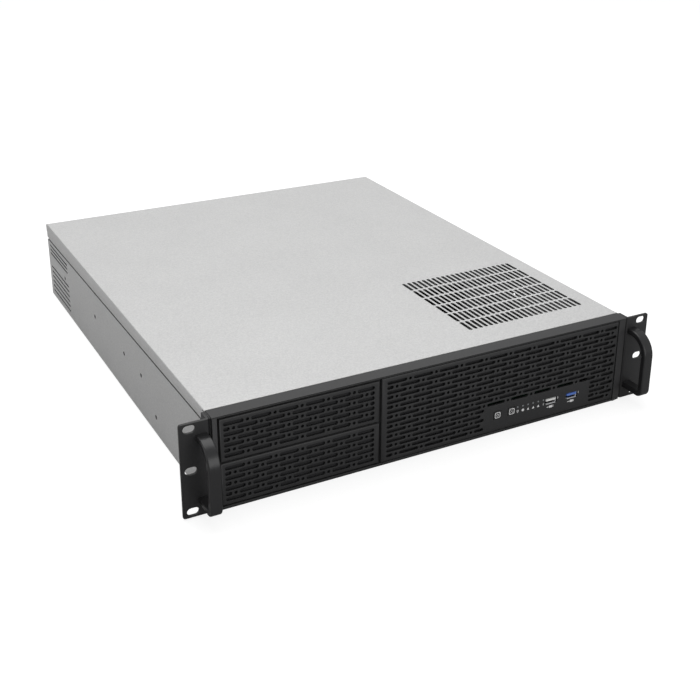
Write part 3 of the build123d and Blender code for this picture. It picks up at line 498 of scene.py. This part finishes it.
def slottedPlate(name, box, sizes, loops=()):
    left, right, bottom, top = box
    sizes = {**plainSet, **sizes}
    return growTree(name, plateTree, {
        "Left": left, "Right": right, "Bottom": bottom, "Top": top, "Depth": sizes["depth"],
        "First Slot": left + sizes["leftMargin"], "Last Slot": right - sizes["rightMargin"],
        "First Row": top - sizes["topMargin"], "Row Pitch": sizes["pitch"], "Period": sizes["period"],
        "Slot Length": sizes["slot"], "Slot Height": sizes["height"], "Stagger": sizes["stagger"],
        "Least Slot": sizes["least"], "Dot Radius": sizes["dot"], "Field Left": sizes["fieldLeft"],
        "Field Right": sizes["fieldRight"], "Rows": sizes["rows"], "Per Row": sizes["perRow"],
        "Field Row": sizes["fieldRow"], "Material": finishes[sizes["finish"]],
    }, loops)


def joinMesh(piece, work):
    # adds what a bmesh in metres holds to a settled piece
    for face in work.faces:
        face.material_index = piece.data.polygons[0].material_index
    both = bmesh.new()
    both.from_mesh(piece.data)
    extra = bpy.data.meshes.new("extra")
    work.to_mesh(extra)
    work.free()
    both.from_mesh(extra)
    both.to_mesh(piece.data)
    both.free()
    bpy.data.meshes.remove(extra)


nearSet = {"weld": 1e-6, "cut": 1e-7, "flat": 2e-6}  # metres


def cutAcross(part, spot, normal, **settings):
    everything = part.verts[:] + part.edges[:] + part.faces[:]
    bmesh.ops.bisect_plane(
        part, geom=everything, dist=nearSet["cut"], plane_co=spot, plane_no=normal, **settings)


def behindCopy(node, y):
    # what a CAD piece has behind the plane y, closed there
    part = bmesh.new()
    part.from_mesh(nodes[node].data)
    bmesh.ops.remove_doubles(part, verts=part.verts, dist=nearSet["weld"])
    cutAcross(part, (0, y, 0), (0, -1, 0), clear_outer=True)
    flat = [face for face in part.faces if all(abs(v.co.y - y) < nearSet["flat"] for v in face.verts)]
    bmesh.ops.delete(part, geom=flat, context="FACES")
    rim = [edge for edge in part.edges if edge.is_boundary]
    bmesh.ops.triangle_fill(part, edges=rim, use_beauty=True)
    bmesh.ops.recalc_face_normals(part, faces=part.faces)
    return part


def closeRings(work, near, far):
    # two matching rings of points, closed and joined
    work.faces.new(near)
    work.faces.new(far)
    for i in range(len(near)):
        j = (i + 1) % len(near)
        work.faces.new((near[i], near[j], far[j], far[i]))


def addPrism(work, outline, front, back):
    # an upright outline, run from front to back
    near, far = ([work.verts.new(Vector((x, y, z)) * mm) for x, z in outline] for y in (front, back))
    closeRings(work, near, far)


def finishWork(name, work, finish, body, *replaced):
    bmesh.ops.recalc_face_normals(work, faces=work.faces)
    mesh = bpy.data.meshes.new(name)
    work.to_mesh(mesh)
    work.free()
    mesh.materials.append(finishes[finish])
    piece = showObject(name, mesh)
    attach(piece, body)
    if replaced:
        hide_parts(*replaced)
    return piece


def smoothRounds(piece, degrees=32.0):
    # shades the round stretches smooth, with corners crisp and large faces level
    piece.data.set_sharp_from_angle(angle=math.radians(degrees))
    level = piece.modifiers.new("level", "WEIGHTED_NORMAL")
    level.mode = "FACE_AREA"
    level.keep_sharp = True
    bakeObject(piece)


def markDullShade(piece, amount, chosen):
    # marks faces for the dark tone: painted shade, with a little of bare steel's real dullness
    marks = piece.data.attributes.new("dullShade", "FLOAT", "FACE")
    for face, mark in zip(piece.data.polygons, marks.data):
        if chosen(face.center / mm, face.normal):
            mark.value = amount


def nodeBox(name):
    low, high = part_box(name)
    return low / mm, high / mm


def middleOf(low, high):
    return (low.x + high.x) / 2, (low.z + high.z) / 2


def roundLoop(x, y, radius, corners):
    turns = [2 * math.pi * i / corners for i in range(corners)]
    return [(x + radius * math.cos(t), y + radius * math.sin(t)) for t in turns]


def squareLoop(x, y, width, height):
    return [(x - width / 2, y - height / 2), (x + width / 2, y - height / 2),
            (x + width / 2, y + height / 2), (x - width / 2, y + height / 2)]


def makeFront(name, node, body, sizes, loops=()):
    # a slotted face, with the solid's own walls behind it
    low, high = nodeBox(node)
    clear = sizes["clear"]  # a shadow gap round the face
    box = (low.x + clear, high.x - clear, low.z + clear, high.z - clear)
    plate = slottedPlate(name, box, sizes, loops)
    softenRims(plate, box, sizes["rim"], sizes["rim"], sizes["slotRim"], sizes["rimSteps"])
    settle(plate, placeAt(y=low.y, turn=upright), body, node)
    joinMesh(plate, behindCopy(node, (low.y + sizes["depth"]) * mm))
    smoothRounds(plate)


# slotted panel with its smooth control field
grilleSet = {
    "finish": "fascia_plastic", "depth": 2.4, "rows": 16, "perRow": 12, "pitch": 4.8, "topMargin": 5.3,
    "leftMargin": 5.1, "rightMargin": 1.7, "period": 26.65, "slot": 19.6, "height": 3.2, "stagger": -13.325,
    "least": 3.0, "dot": 1.5, "fieldLeft": 51.0, "fieldRight": 173.5, "fieldRow": 11,
    "rim": 0.7, "slotRim": 0.22, "rimSteps": 1, "clear": 0.3,
}
controlSet = {
    "ledCount": 6, "ledFirst": 89.3, "ledPitch": 5.94, "ledHeight": 22.3, "ledRadius": 1.1,
    "ledCorners": 12, "socketGap": 0.3, "buttonSize": 8.4,
}


def makeGrille():
    loops = []
    cap = controlSet["buttonSize"]
    for name in ("power_button", "reset_button"):
        loops.append(squareLoop(*middleOf(*nodeBox(name)), cap, cap))
    for i in range(controlSet["ledCount"]):
        x, z = controlSet["ledFirst"] + i * controlSet["ledPitch"], controlSet["ledHeight"]
        loops.append(roundLoop(x, z, controlSet["ledRadius"], controlSet["ledCorners"]))
    gap = 2 * controlSet["socketGap"]
    for name in ("usb_white_shell", "usb_blue_shell"):
        low, high = nodeBox(name)
        loops.append(squareLoop(*middleOf(low, high), high.x - low.x + gap, high.z - low.z + gap))
    makeFront("slotted_panel", "front_grille", "case", grilleSet, loops)


makeGrille()
print("slotted panel ready")

# two drive bay covers
coverSet = {
    "finish": "fascia_plastic", "depth": 2.2, "rows": 7, "perRow": 8, "pitch": 4.9, "topMargin": 5.1,
    "leftMargin": 3.2, "rightMargin": 4.8, "period": 24.6, "slot": 17.8, "height": 3.5, "stagger": -12.3,
    "least": 3.0, "dot": 1.55, "rim": 1.0, "slotRim": 0.22, "rimSteps": 2,
    "wall": 1.6, "inset": 3.2, "clear": 0.4,
}
coverBodies = {"bay_cover_lower": "lower_cover", "bay_cover_upper": "upper_cover"}

for node, body in coverBodies.items():
    makeFront(node + "_shell", node, body, coverSet)
print("bay covers ready")


# lid: roof vent in a flat skin, folded down at the sides and the back
lidSet = {
    "finish": "case_steel", "depth": 1.0, "rows": 23, "perRow": 6, "pitch": 5.86, "period": 21.7,
    "slot": 19.5, "height": 3.65, "least": 3.0, "ventFirst": 47.1, "ventFromSide": 85.2, "slotRim": 0.16,
    "fold": 1.1, "foldSteps": 4, "backDrop": 9.0, "frontDrop": 10.0, "rearDrop": 15.9, "lean": 0.6,
    "step": 0.3, "stepAt": 0.52, "notch": 1.75, "notchX": (-162.48, 0.0, 162.48), "notchTop": 85.35,
}


def foldedEdge(across, top, wall):
    # cross-section of a folded edge: out from the skin, round the fold, down the wall and back inside
    fold, steps = lidSet["fold"], lidSet["foldSteps"]
    turns = [math.pi / 2 * i / steps for i in range(steps + 1)]

    def arc(radius, angles):
        return [(across - fold + radius * math.sin(t), top - fold + radius * math.cos(t)) for t in angles]

    return arc(fold, turns) + wall + arc(fold - lidSet["depth"], turns[::-1])


def sideOutline(drop, edge, top, hand):
    # the side flange leans out a little, and steps back in below its middle
    ledge, thick = lidSet["step"], lidSet["depth"]
    middle, low = top - drop * lidSet["stepAt"], top - drop
    wall = [(edge, middle), (edge - ledge, middle - ledge), (edge - ledge, low), (edge - thick, low)]
    return [(hand * u, v) for u, v in foldedEdge(edge - lidSet["lean"], top, wall)]


def backOutline(drop, edge, top):
    return foldedEdge(edge, top, [(edge, top - drop), (edge - lidSet["depth"], top - drop)])


def mitreX(x, y, back, corner):
    # at the lid's corners the back fold is mitred to the side folds
    if not corner:
        return x
    out = (y - (back - lidSet["fold"])) * (lidSet["fold"] + lidSet["lean"]) / lidSet["fold"]
    return x + math.copysign(out, x)


def lidEdges(front, back, half, top, side):
    edges = bmesh.new()

    def ring(spots):
        return [edges.verts.new(Vector(spot) * mm) for spot in spots]

    for hand in (-1, 1):
        # the side flange deepens towards the back
        shallow = sideOutline(lidSet["frontDrop"], half, top, hand)
        deep = sideOutline(lidSet["rearDrop"], half, top, hand)
        near = ring((u, front, v) for u, v in shallow)
        far = ring((u, back - min(lidSet["fold"], max(0.0, half - abs(u))), v) for u, v in deep)
        closeRings(edges, near, far)
    stops = [-side, side]
    for x in lidSet["notchX"]:
        stops += [x - lidSet["notch"], x + lidSet["notch"]]
    stops.sort()
    for i, (a, b) in enumerate(zip(stops, stops[1:])):
        drop = top - lidSet["notchTop"] if i % 2 else lidSet["backDrop"]
        outline = backOutline(drop, back, top)
        near, far = (ring((mitreX(x, y, back, corner), y, z) for y, z in outline)
                     for x, corner in ((a, i == 0), (b, i == len(stops) - 2)))
        closeRings(edges, near, far)
    bmesh.ops.recalc_face_normals(edges, faces=edges.faces)
    return edges


def makeLid():
    low, high = nodeBox("top_cover")
    front, back, half, top = low.y, high.y, high.x, high.z
    side = half - lidSet["fold"] - lidSet["lean"]
    box = (front, back - lidSet["fold"], -side, side)
    ventX = half - lidSet["ventFromSide"] - (lidSet["rows"] - 1) / 2 * lidSet["pitch"]
    ventY = frontY / mm + lidSet["ventFirst"]
    ventEnd = ventY + lidSet["perRow"] * lidSet["period"]
    sizes = dict(lidSet, leftMargin=ventY - front, rightMargin=box[1] - ventEnd, topMargin=box[3] + ventX)
    skin = slottedPlate("lid_skin", box, sizes)
    softenRims(skin, box, lidSet["slotRim"], 0.0, lidSet["slotRim"])
    skin.data.transform(placeAt(z=top, turn=Matrix.Rotation(math.pi / 2, 4, "Z")))
    joinMesh(skin, lidEdges(front, back, half, top, side))
    smoothRounds(skin)

    # the vent's slot walls take the dark tone: painted shade in the slots, with a little real dullness of
    # bare steel
    def inVent(at, out):
        return abs(out.z) < dullShadeSet["upright"] and abs(at.x) < side and ventY < at.y < ventEnd

    markDullShade(skin, dullShadeSet["vent"], inVent)
    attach(skin, "lid")
    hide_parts("top_cover")


makeLid()
print("lid ready")


# handles: a flat bar bent round two corners
handleSet = {
    "bar": 6.0, "topRadius": 22.0, "lowRadius": 7.5, "steps": 14, "edge": 1.3,
    "edgeSteps": 4, "finish": "handle_alloy", "smooth": 40.0,
}


def makeBowTree():
    tree, given, out = newGroup(
        "bentBar", "GeometryNodeTree",
        {"Float": ("Back", "Front", "Low", "High", "Bar", "Width", "Top Radius", "Low Radius", "Edge"),
         "Int": ("Steps", "Edge Steps"), "Material": ["Material"]},
        {"Geometry": ["Bar Shape"]},
    )
    grow = partial(outOf, tree)
    plus, minus, times, below = sums(tree, "ADD", "SUBTRACT", "MULTIPLY", "LESS_THAN")

    def between(share, first, last):
        return plus(first, times(share, minus(last, first)))

    # four points: the upper end, the two bends and the lower end
    line = grow("GeometryNodeCurvePrimitiveLine")
    points = grow("GeometryNodeResampleCurve", {"Curve": line, "Count": 4}, mode="COUNT")
    index = grow("GeometryNodeInputIndex")
    atEnd = plus(below(index, 0.5), calc(tree, "GREATER_THAN", index, 2.5))
    upper = below(index, 1.5)
    halfBar = times(given["Bar"], 0.5)
    x = between(atEnd, plus(given["Front"], halfBar), given["Back"])
    y = between(upper, plus(given["Low"], halfBar), minus(given["High"], halfBar))
    spot = grow("ShaderNodeCombineXYZ", {0: x, 1: y})
    placed = grow("GeometryNodeSetPosition", {"Geometry": points, "Position": spot})
    bend = between(upper, minus(given["Low Radius"], halfBar), minus(given["Top Radius"], halfBar))
    path = grow("GeometryNodeFilletCurve",
                {"Curve": placed, "Count": given["Steps"], "Radius": bend}, mode="POLY")
    steady = grow("GeometryNodeSetCurveNormal", {"Curve": path}, mode="Z_UP")
    square = grow("GeometryNodeCurvePrimitiveQuadrilateral",
                  {"Width": given["Bar"], "Height": given["Width"]})
    profile = grow("GeometryNodeFilletCurve",
                   {"Curve": square, "Count": given["Edge Steps"], "Radius": given["Edge"]}, mode="POLY")
    bar = grow("GeometryNodeCurveToMesh", {"Curve": steady, "Profile Curve": profile, "Fill Caps": True})
    whole = grow("GeometryNodeMergeByDistance", {"Geometry": bar, "Distance": treeSet["weld"]})
    return endTree(tree, whole, given, out)


bowTree = makeBowTree()
# the bar is grown lying flat, then its x, y and z become Y, Z and X
standing = Matrix(((0, 0, 1, 0), (1, 0, 0, 0), (0, 1, 0, 0), (0, 0, 0, 1)))


def makeHandle(side):
    low, high = nodeBox("handle_" + side)
    bar = growTree("handle_bar_" + side, bowTree, {
        "Back": high.y, "Front": low.y, "Low": low.z, "High": high.z, "Bar": handleSet["bar"],
        "Width": high.x - low.x, "Top Radius": handleSet["topRadius"], "Low Radius": handleSet["lowRadius"],
        "Edge": handleSet["edge"], "Steps": handleSet["steps"], "Edge Steps": handleSet["edgeSteps"],
        "Material": finishes[handleSet["finish"]],
    })
    settle(bar, placeAt(x=(low.x + high.x) / 2, turn=standing), "case", "handle_" + side)
    smoothRounds(bar, handleSet["smooth"])


for side in ("left", "right"):
    makeHandle(side)
print("handles ready")


# thumb screws: knurled heads on plain shanks
thumbSet = {
    "radius": 3.0, "knurl": 0.28, "teeth": 22, "head": 3.5, "shank": 1.45, "shankCorners": 16, "dish": 1.9,
    "dishDepth": 0.5, "hair": 0.0001,
}


def makeScrewTree():
    tree, given, out = newGroup(
        "knurledScrew", "GeometryNodeTree",
        {"Geometry": ["Places"],
         "Float": ("Radius", "Knurl", "Head", "Shank Radius", "Shank Length", "Dish Radius", "Dish Depth"),
         "Int": ["Teeth"], "Material": ["Material"]},
        {"Geometry": ["Screws"]},
    )
    grow = partial(outOf, tree)
    minus, times, over = sums(tree, "SUBTRACT", "MULTIPLY", "DIVIDE")

    def extrude(mesh, inputs):
        return addNode(tree, "GeometryNodeExtrudeMesh", {"Mesh": mesh, **inputs, "Individual": False})

    valley = minus(given["Radius"], given["Knurl"])
    star = grow("GeometryNodeCurveStar",
                {"Points": given["Teeth"], "Inner Radius": valley, "Outer Radius": given["Radius"]})
    bottom = grow("GeometryNodeFillCurve", {0: star})
    head = extrude(bottom, {"Offset": grow("ShaderNodeCombineXYZ", {2: given["Head"]})})
    # the dish: the top is raised a hair, drawn in and sunk
    ring = extrude(head.outputs[0], {"Selection": head.outputs["Top"], "Offset Scale": thumbSet["hair"]})
    narrow = over(given["Dish Radius"], given["Radius"])
    inner = grow("GeometryNodeScaleElements",
                 {"Geometry": ring.outputs[0], "Selection": ring.outputs["Top"], "Scale": narrow})
    sunk = times(given["Dish Depth"], -1.0)
    dish = extrude(inner, {"Selection": ring.outputs["Top"], "Offset Scale": sunk})
    flipped = grow("GeometryNodeFlipFaces", {0: bottom})
    shank = grow("GeometryNodeMeshCylinder",
                 {"Vertices": thumbSet["shankCorners"], "Radius": given["Shank Radius"],
                  "Depth": given["Shank Length"]})
    down = grow("ShaderNodeCombineXYZ", {2: times(given["Shank Length"], -0.5)})
    lowered = grow("GeometryNodeTransform", {"Geometry": shank, "Translation": down})
    screw = joinAll(tree, flipped, dish.outputs[0], lowered)
    welded = grow("GeometryNodeMergeByDistance", {"Geometry": screw, "Distance": treeSet["screwWeld"]})
    spots = grow("GeometryNodeMeshToPoints", {"Mesh": given["Places"]})
    copies = grow("GeometryNodeInstanceOnPoints", {"Points": spots, "Instance": welded})
    return endTree(tree, copies, given, out)


# flat x, y and z become -X, Z and Y
pointedBack = Matrix(((-1, 0, 0, 0), (0, 0, 1, 0), (0, 1, 0, 0), (0, 0, 0, 1)))


def makeThumbScrews():
    low, high = nodeBox("lid_thumb_screws")
    z = (low.z + high.z) / 2
    seat = high.y - thumbSet["head"]
    piece = growTree("thumb_screws", makeScrewTree(), {
        "Radius": thumbSet["radius"], "Knurl": thumbSet["knurl"], "Head": thumbSet["head"],
        "Shank Radius": thumbSet["shank"], "Shank Length": seat - low.y, "Dish Radius": thumbSet["dish"],
        "Dish Depth": thumbSet["dishDepth"], "Teeth": thumbSet["teeth"], "Material": finishes["screw_steel"],
    }, [[(-x, z)] for x in lidSet["notchX"]])
    settle(piece, placeAt(y=seat, turn=pointedBack), "case", "lid_thumb_screws")
    smoothRounds(piece)


makeThumbScrews()
print("thumb screws ready")


# printed marks on the control field and the push button caps
markSet = {
    "proud": 0.05, "sunk": 0.2, "stroke": 0.5, "capSquare": 6.1, "capLine": 0.65, "capRound": 6.0,
    "capRing": 1.3, "capStem": (0.45, 1.1), "capDots": 1.15, "capDot": 0.42, "capBar": 1.0,
    "glyphZ": 17.9, "glyph": 1.3, "bulb": 0.9, "bulbLift": 0.3, "foot": 0.9, "footDrop": 1.1, "disc": 1.1,
    "stem": 1.6, "stemDrop": 0.3, "tittleLift": 1.0, "tip": 0.2, "portDrop": 3.2, "plug": (3.4, 2.4),
    "lead": (3.0, 0.6), "prong": 1.6, "prongLift": 0.6, "tick": 2.2, "tickIn": 1.3,
    "capCorners": 28, "ringCorners": 16, "discCorners": 14,
}


def ringMark(work, x, z, outer, inner, face, corners, square=0.0):
    # a flat ring or rounded square frame, a little proud of the face
    loops = []
    for radius in (outer, inner):
        loop = []
        for i in range(corners):
            t = 2 * math.pi * (i + 0.5) / corners
            u, v = math.cos(t), math.sin(t)
            swell = (abs(u) ** square + abs(v) ** square) ** (-1 / square) if square else 1.0
            loop.append((x + radius * swell * u, z + radius * swell * v))
        loops.append(loop)
    depths = (face - markSet["proud"], face + markSet["sunk"])
    rings = [[[work.verts.new(Vector((u, y, v)) * mm) for u, v in loop] for y in depths] for loop in loops]
    (outNear, outFar), (inNear, inFar) = rings
    for i in range(corners):
        j = (i + 1) % corners
        for a, b in ((outNear, inNear), (outFar, inFar), (outNear, outFar), (inNear, inFar)):
            work.faces.new((a[i], a[j], b[j], b[i]))


def flatMark(work, outline, face):
    addPrism(work, outline, face - markSet["proud"], face + markSet["sunk"])


def discMark(work, x, z, radius, face):
    flatMark(work, roundLoop(x, z, radius, markSet["discCorners"]), face)


def barMark(work, x, z, width, height, face):
    flatMark(work, squareLoop(x, z, width, height), face)


def capMark(node, body, dotted):
    low, high = nodeBox(node)
    (x, z), face = middleOf(low, high), low.y
    work = bmesh.new()
    half, ring, apart = markSet["capSquare"] / 2, markSet["capRing"], markSet["capDots"]
    stem, tall = markSet["capStem"]
    ringMark(work, x, z, half, half - markSet["capLine"], face, markSet["capCorners"], markSet["capRound"])
    if dotted:
        for u, v in ((-1, -1), (1, -1), (1, 1), (-1, 1)):
            discMark(work, x + u * apart, z + v * apart, markSet["capDot"], face)
        barMark(work, x, z, markSet["capBar"], markSet["stroke"], face)
    else:
        ringMark(work, x, z, ring, ring - stem, face, markSet["ringCorners"])
        barMark(work, x, z + ring, stem, tall, face)
    finishWork(node + "_mark", work, "print_white", body)


def panelMarks():
    face = nodeBox("front_grille")[0].y
    work = bmesh.new()
    z, size, stroke = markSet["glyphZ"], markSet["glyph"], markSet["stroke"]
    for i in range(controlSet["ledCount"]):
        x = controlSet["ledFirst"] + i * controlSet["ledPitch"]
        if i == 0:
            bulb = size * markSet["bulb"]
            ringMark(work, x, z + markSet["bulbLift"], bulb, bulb - stroke, face, markSet["discCorners"])
            barMark(work, x, z - markSet["footDrop"], stroke, markSet["foot"], face)
        elif i == 1:
            discMark(work, x, z, size * markSet["disc"], face)
        elif i == controlSet["ledCount"] - 1:
            barMark(work, x, z - markSet["stemDrop"], stroke, markSet["stem"], face)
            barMark(work, x, z + markSet["tittleLift"], stroke, stroke, face)
        else:
            tip = (x + size * markSet["tip"], z + size)
            flatMark(work, [(x - size, z - size), (x + size, z - size), tip], face)
    for node in ("usb_white_shell", "usb_blue_shell"):
        # a plain plug under each socket, and a short stroke beside it
        low, high = nodeBox(node)
        middle = (low.x + high.x) / 2
        z = low.z - markSet["portDrop"]
        (wide, tall), (lead, thin) = markSet["plug"], markSet["lead"]
        barMark(work, middle, z, wide, tall, face)
        barMark(work, middle - (wide + lead) / 2, z, lead, thin, face)
        for lift in (-markSet["prongLift"], markSet["prongLift"]):
            barMark(work, middle + (wide + markSet["prong"]) / 2, z + lift, markSet["prong"], stroke, face)
        barMark(work, high.x + markSet["tickIn"], high.z - markSet["tickIn"], stroke, markSet["tick"], face)
    finishWork("panel_marks", work, "print_white", "case")


capMark("power_button", "power_key", False)
capMark("reset_button", "reset_key", True)
panelMarks()
print("printed marks ready")


# open foam pads, softly crowned between their edges: the dust filter, and one in each bay cover
foamSet = {
    "cell": 4.0, "swell": 0.35, "edge": 3.0, "rough": 0.12, "seed": 7, "smooth": 50.0,
    "coverPad": 2.5, "coverGap": 0.1, "coverBack": 0.3,
}


def foamPad(name, part, body, *replaced):
    bmesh.ops.remove_doubles(part, verts=part.verts, dist=nearSet["weld"])
    low, high = (Vector([ends(v.co[i] for v in part.verts) for i in range(3)]) for ends in (min, max))
    for axis, normal in ((0, (1, 0, 0)), (2, (0, 0, 1))):
        steps = int((high[axis] - low[axis]) / (foamSet["cell"] * mm))
        for i in range(1, steps):
            spot = Vector((0, 0, 0))
            spot[axis] = low[axis] + (high[axis] - low[axis]) * i / steps
            cutAcross(part, spot, normal)
    middle = (low.y + high.y) / 2
    chance = random.Random(foamSet["seed"])
    for vert in part.verts:
        # the faces only sink, so that a pad never leaves its place
        inside = min(vert.co.x - low.x, high.x - vert.co.x, vert.co.z - low.z, high.z - vert.co.z)
        crown = 1.0 - min(1.0, max(0.0, inside) / (foamSet["edge"] * mm))
        sink = foamSet["swell"] * crown + foamSet["rough"] * chance.random()
        vert.co.y += math.copysign(sink * mm, middle - vert.co.y)
    pad = finishWork(name, part, "filter_foam", body, *replaced)
    smoothRounds(pad, foamSet["smooth"])


def makeFoam():
    filterShape = bmesh.new()
    filterShape.from_mesh(nodes["dust_filter"].data)
    foamPad("foam_filter", filterShape, "case", "dust_filter")
    edge = coverSet["wall"] + foamSet["coverGap"]
    for node, body in coverBodies.items():
        low, high = nodeBox(node)
        left, right = low.x + edge, high.x - coverSet["inset"] - edge
        bottom, top = low.z + edge, high.z - edge
        face = low.y + coverSet["depth"] + foamSet["coverBack"]
        pad = bmesh.new()
        outline = squareLoop((left + right) / 2, (bottom + top) / 2, right - left, top - bottom)
        addPrism(pad, outline, face, face + foamSet["coverPad"])
        foamPad(node + "_foam", pad, body)


makeFoam()
print("foam pads ready")

# sockets: the tongue stands near the mouth, over the bright lower lip of a sunk shell
socketSet = {
    "mouth": 0.25, "tongueExtra": 0.1, "shellSunk": 1.3,
    "lipWidth": 10.8, "lipHeight": 0.6, "lipDrop": 0.2, "lipStart": 0.05, "lipLength": 7.0,
}


def makeSocket(name):
    face = nodeBox("front_grille")[0].y
    low, high = nodeBox(f"usb_{name}_tongue")
    x, z = middleOf(low, high)
    tongue = bmesh.new()
    outline = squareLoop(x, z, high.x - low.x, high.z - low.z + 2 * socketSet["tongueExtra"])
    addPrism(tongue, outline, face + socketSet["mouth"], high.y)
    finishWork(f"usb_{name}_tongue_soft", tongue, f"tongue_{name}", "case", f"usb_{name}_tongue")
    lip = bmesh.new()
    z = nodeBox(f"usb_{name}_shell")[0].z - socketSet["lipDrop"] + socketSet["lipHeight"] / 2
    outline = squareLoop(x, z, socketSet["lipWidth"], socketSet["lipHeight"])
    addPrism(lip, outline, face + socketSet["lipStart"], face + socketSet["lipLength"])
    finishWork(f"usb_{name}_lip", lip, "socket_steel", "case")


for name in ("white", "blue"):
    makeSocket(name)
print("sockets ready")

# rims eased on what keeps its own form, in mm
softSet = {
    "chassis_pan": 0.06, "front_wall": 0.15, "front_bezel": 0.4, "ear_left": 0.5, "ear_right": 0.5,
    "rear_panel": 0.15, "slot_covers": 0.15, "drive_cage_wide": 0.15, "drive_cage_narrow": 0.15,
    "supply_cradle": 0.15, "fan_wall": 0.15, "cross_brace": 0.15, "power_button": 0.35, "reset_button": 0.35,
    "usb_white_shell": 0.1, "usb_blue_shell": 0.1,
    "power_inlet": 0.35, "push_switches": 0.3, "inlet_pins": 0.25, "control_board": 0.1,
    **{f"fan_frame_{i}": 0.5 for i in range(1, 4)},
    **{f"fan_rotor_{i}": 0.2 for i in range(1, 4)},
}
easeSet = {"angle": 38.0, "level": 0.4, "weld": 2e-6, "steps": 2}  # degrees, degrees, metres
stileSet = {"fromSide": 2.0, "back": 1.6, "face": 0.1}  # the right stile leans back towards the ear
endSet = {"near": 0.15, "cap": 0.3, "capLift": 0.05, "sunk": 1.0, "gap": 0.1}  # returns that close the ends


def leanStile(part):
    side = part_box("front_bezel")[1].x - stileSet["fromSide"] * mm
    for vert in part.verts:
        if vert.co.y < frontY + stileSet["face"] * mm and vert.co.x > side:
            vert.co.y += stileSet["back"] * mm


def bezelEnds():
    low, high = nodeBox("front_bezel")
    panLow, panHigh = nodeBox("chassis_pan")
    front, back = low.y + endSet["sunk"] + stileSet["back"], panLow.y - endSet["gap"]
    z = (low.z + high.z) / 2
    capZ = panHigh.z + endSet["cap"] / 2 + endSet["capLift"]
    work = bmesh.new()
    for end, edge in ((low.x, panLow.x + endSet["near"]), (high.x, panHigh.x - endSet["near"])):
        x, width = (end + edge) / 2, abs(edge - end)
        addPrism(work, squareLoop(x, z, width, high.z - low.z - 2 * endSet["sunk"]), front, back)
        addPrism(work, squareLoop(x, capZ, width, endSet["cap"]), back, high.y)
    bmesh.ops.recalc_face_normals(work, faces=work.faces)
    return work


def softCopy(node, width):
    part = bmesh.new()
    part.from_mesh(nodes[node].data)
    bmesh.ops.remove_doubles(part, verts=part.verts, dist=easeSet["weld"])
    bmesh.ops.dissolve_limit(
        part, angle_limit=math.radians(easeSet["level"]), verts=part.verts, edges=part.edges)
    if node == "front_bezel":
        leanStile(part)
    if node.startswith("usb"):
        sunk = frontY + socketSet["shellSunk"] * mm
        for vert in part.verts:
            vert.co.y = max(vert.co.y, sunk)
    mesh = bpy.data.meshes.new(node + "_soft")
    part.to_mesh(mesh)
    part.free()
    mesh.materials.append(finishes[slotOf[node]])
    piece = showObject(node + "_soft", mesh)
    easeEdges(piece, width * mm, easeSet["steps"], "ANGLE", angle_limit=math.radians(easeSet["angle"]))
    if node == "front_bezel":
        joinMesh(piece, bezelEnds())
    smoothRounds(piece)
    if node == "chassis_pan":
        side = nodeBox(node)[1].x

        # painted shade: the joggle's ledge under the lid's flange, and the side walls' punched and cut
        # edges, take the dark tone
        def onEdge(at, out):
            return abs(out.x) < dullShadeSet["upright"] and side - lidSet["depth"] < abs(at.x) < side

        markDullShade(piece, dullShadeSet["pan"], onEdge)
    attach(piece, bodyOf[node])
    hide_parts(node)


for node, width in softSet.items():
    softCopy(node, width)
print("rims eased:", len(softSet))

bpy.context.view_layer.update()
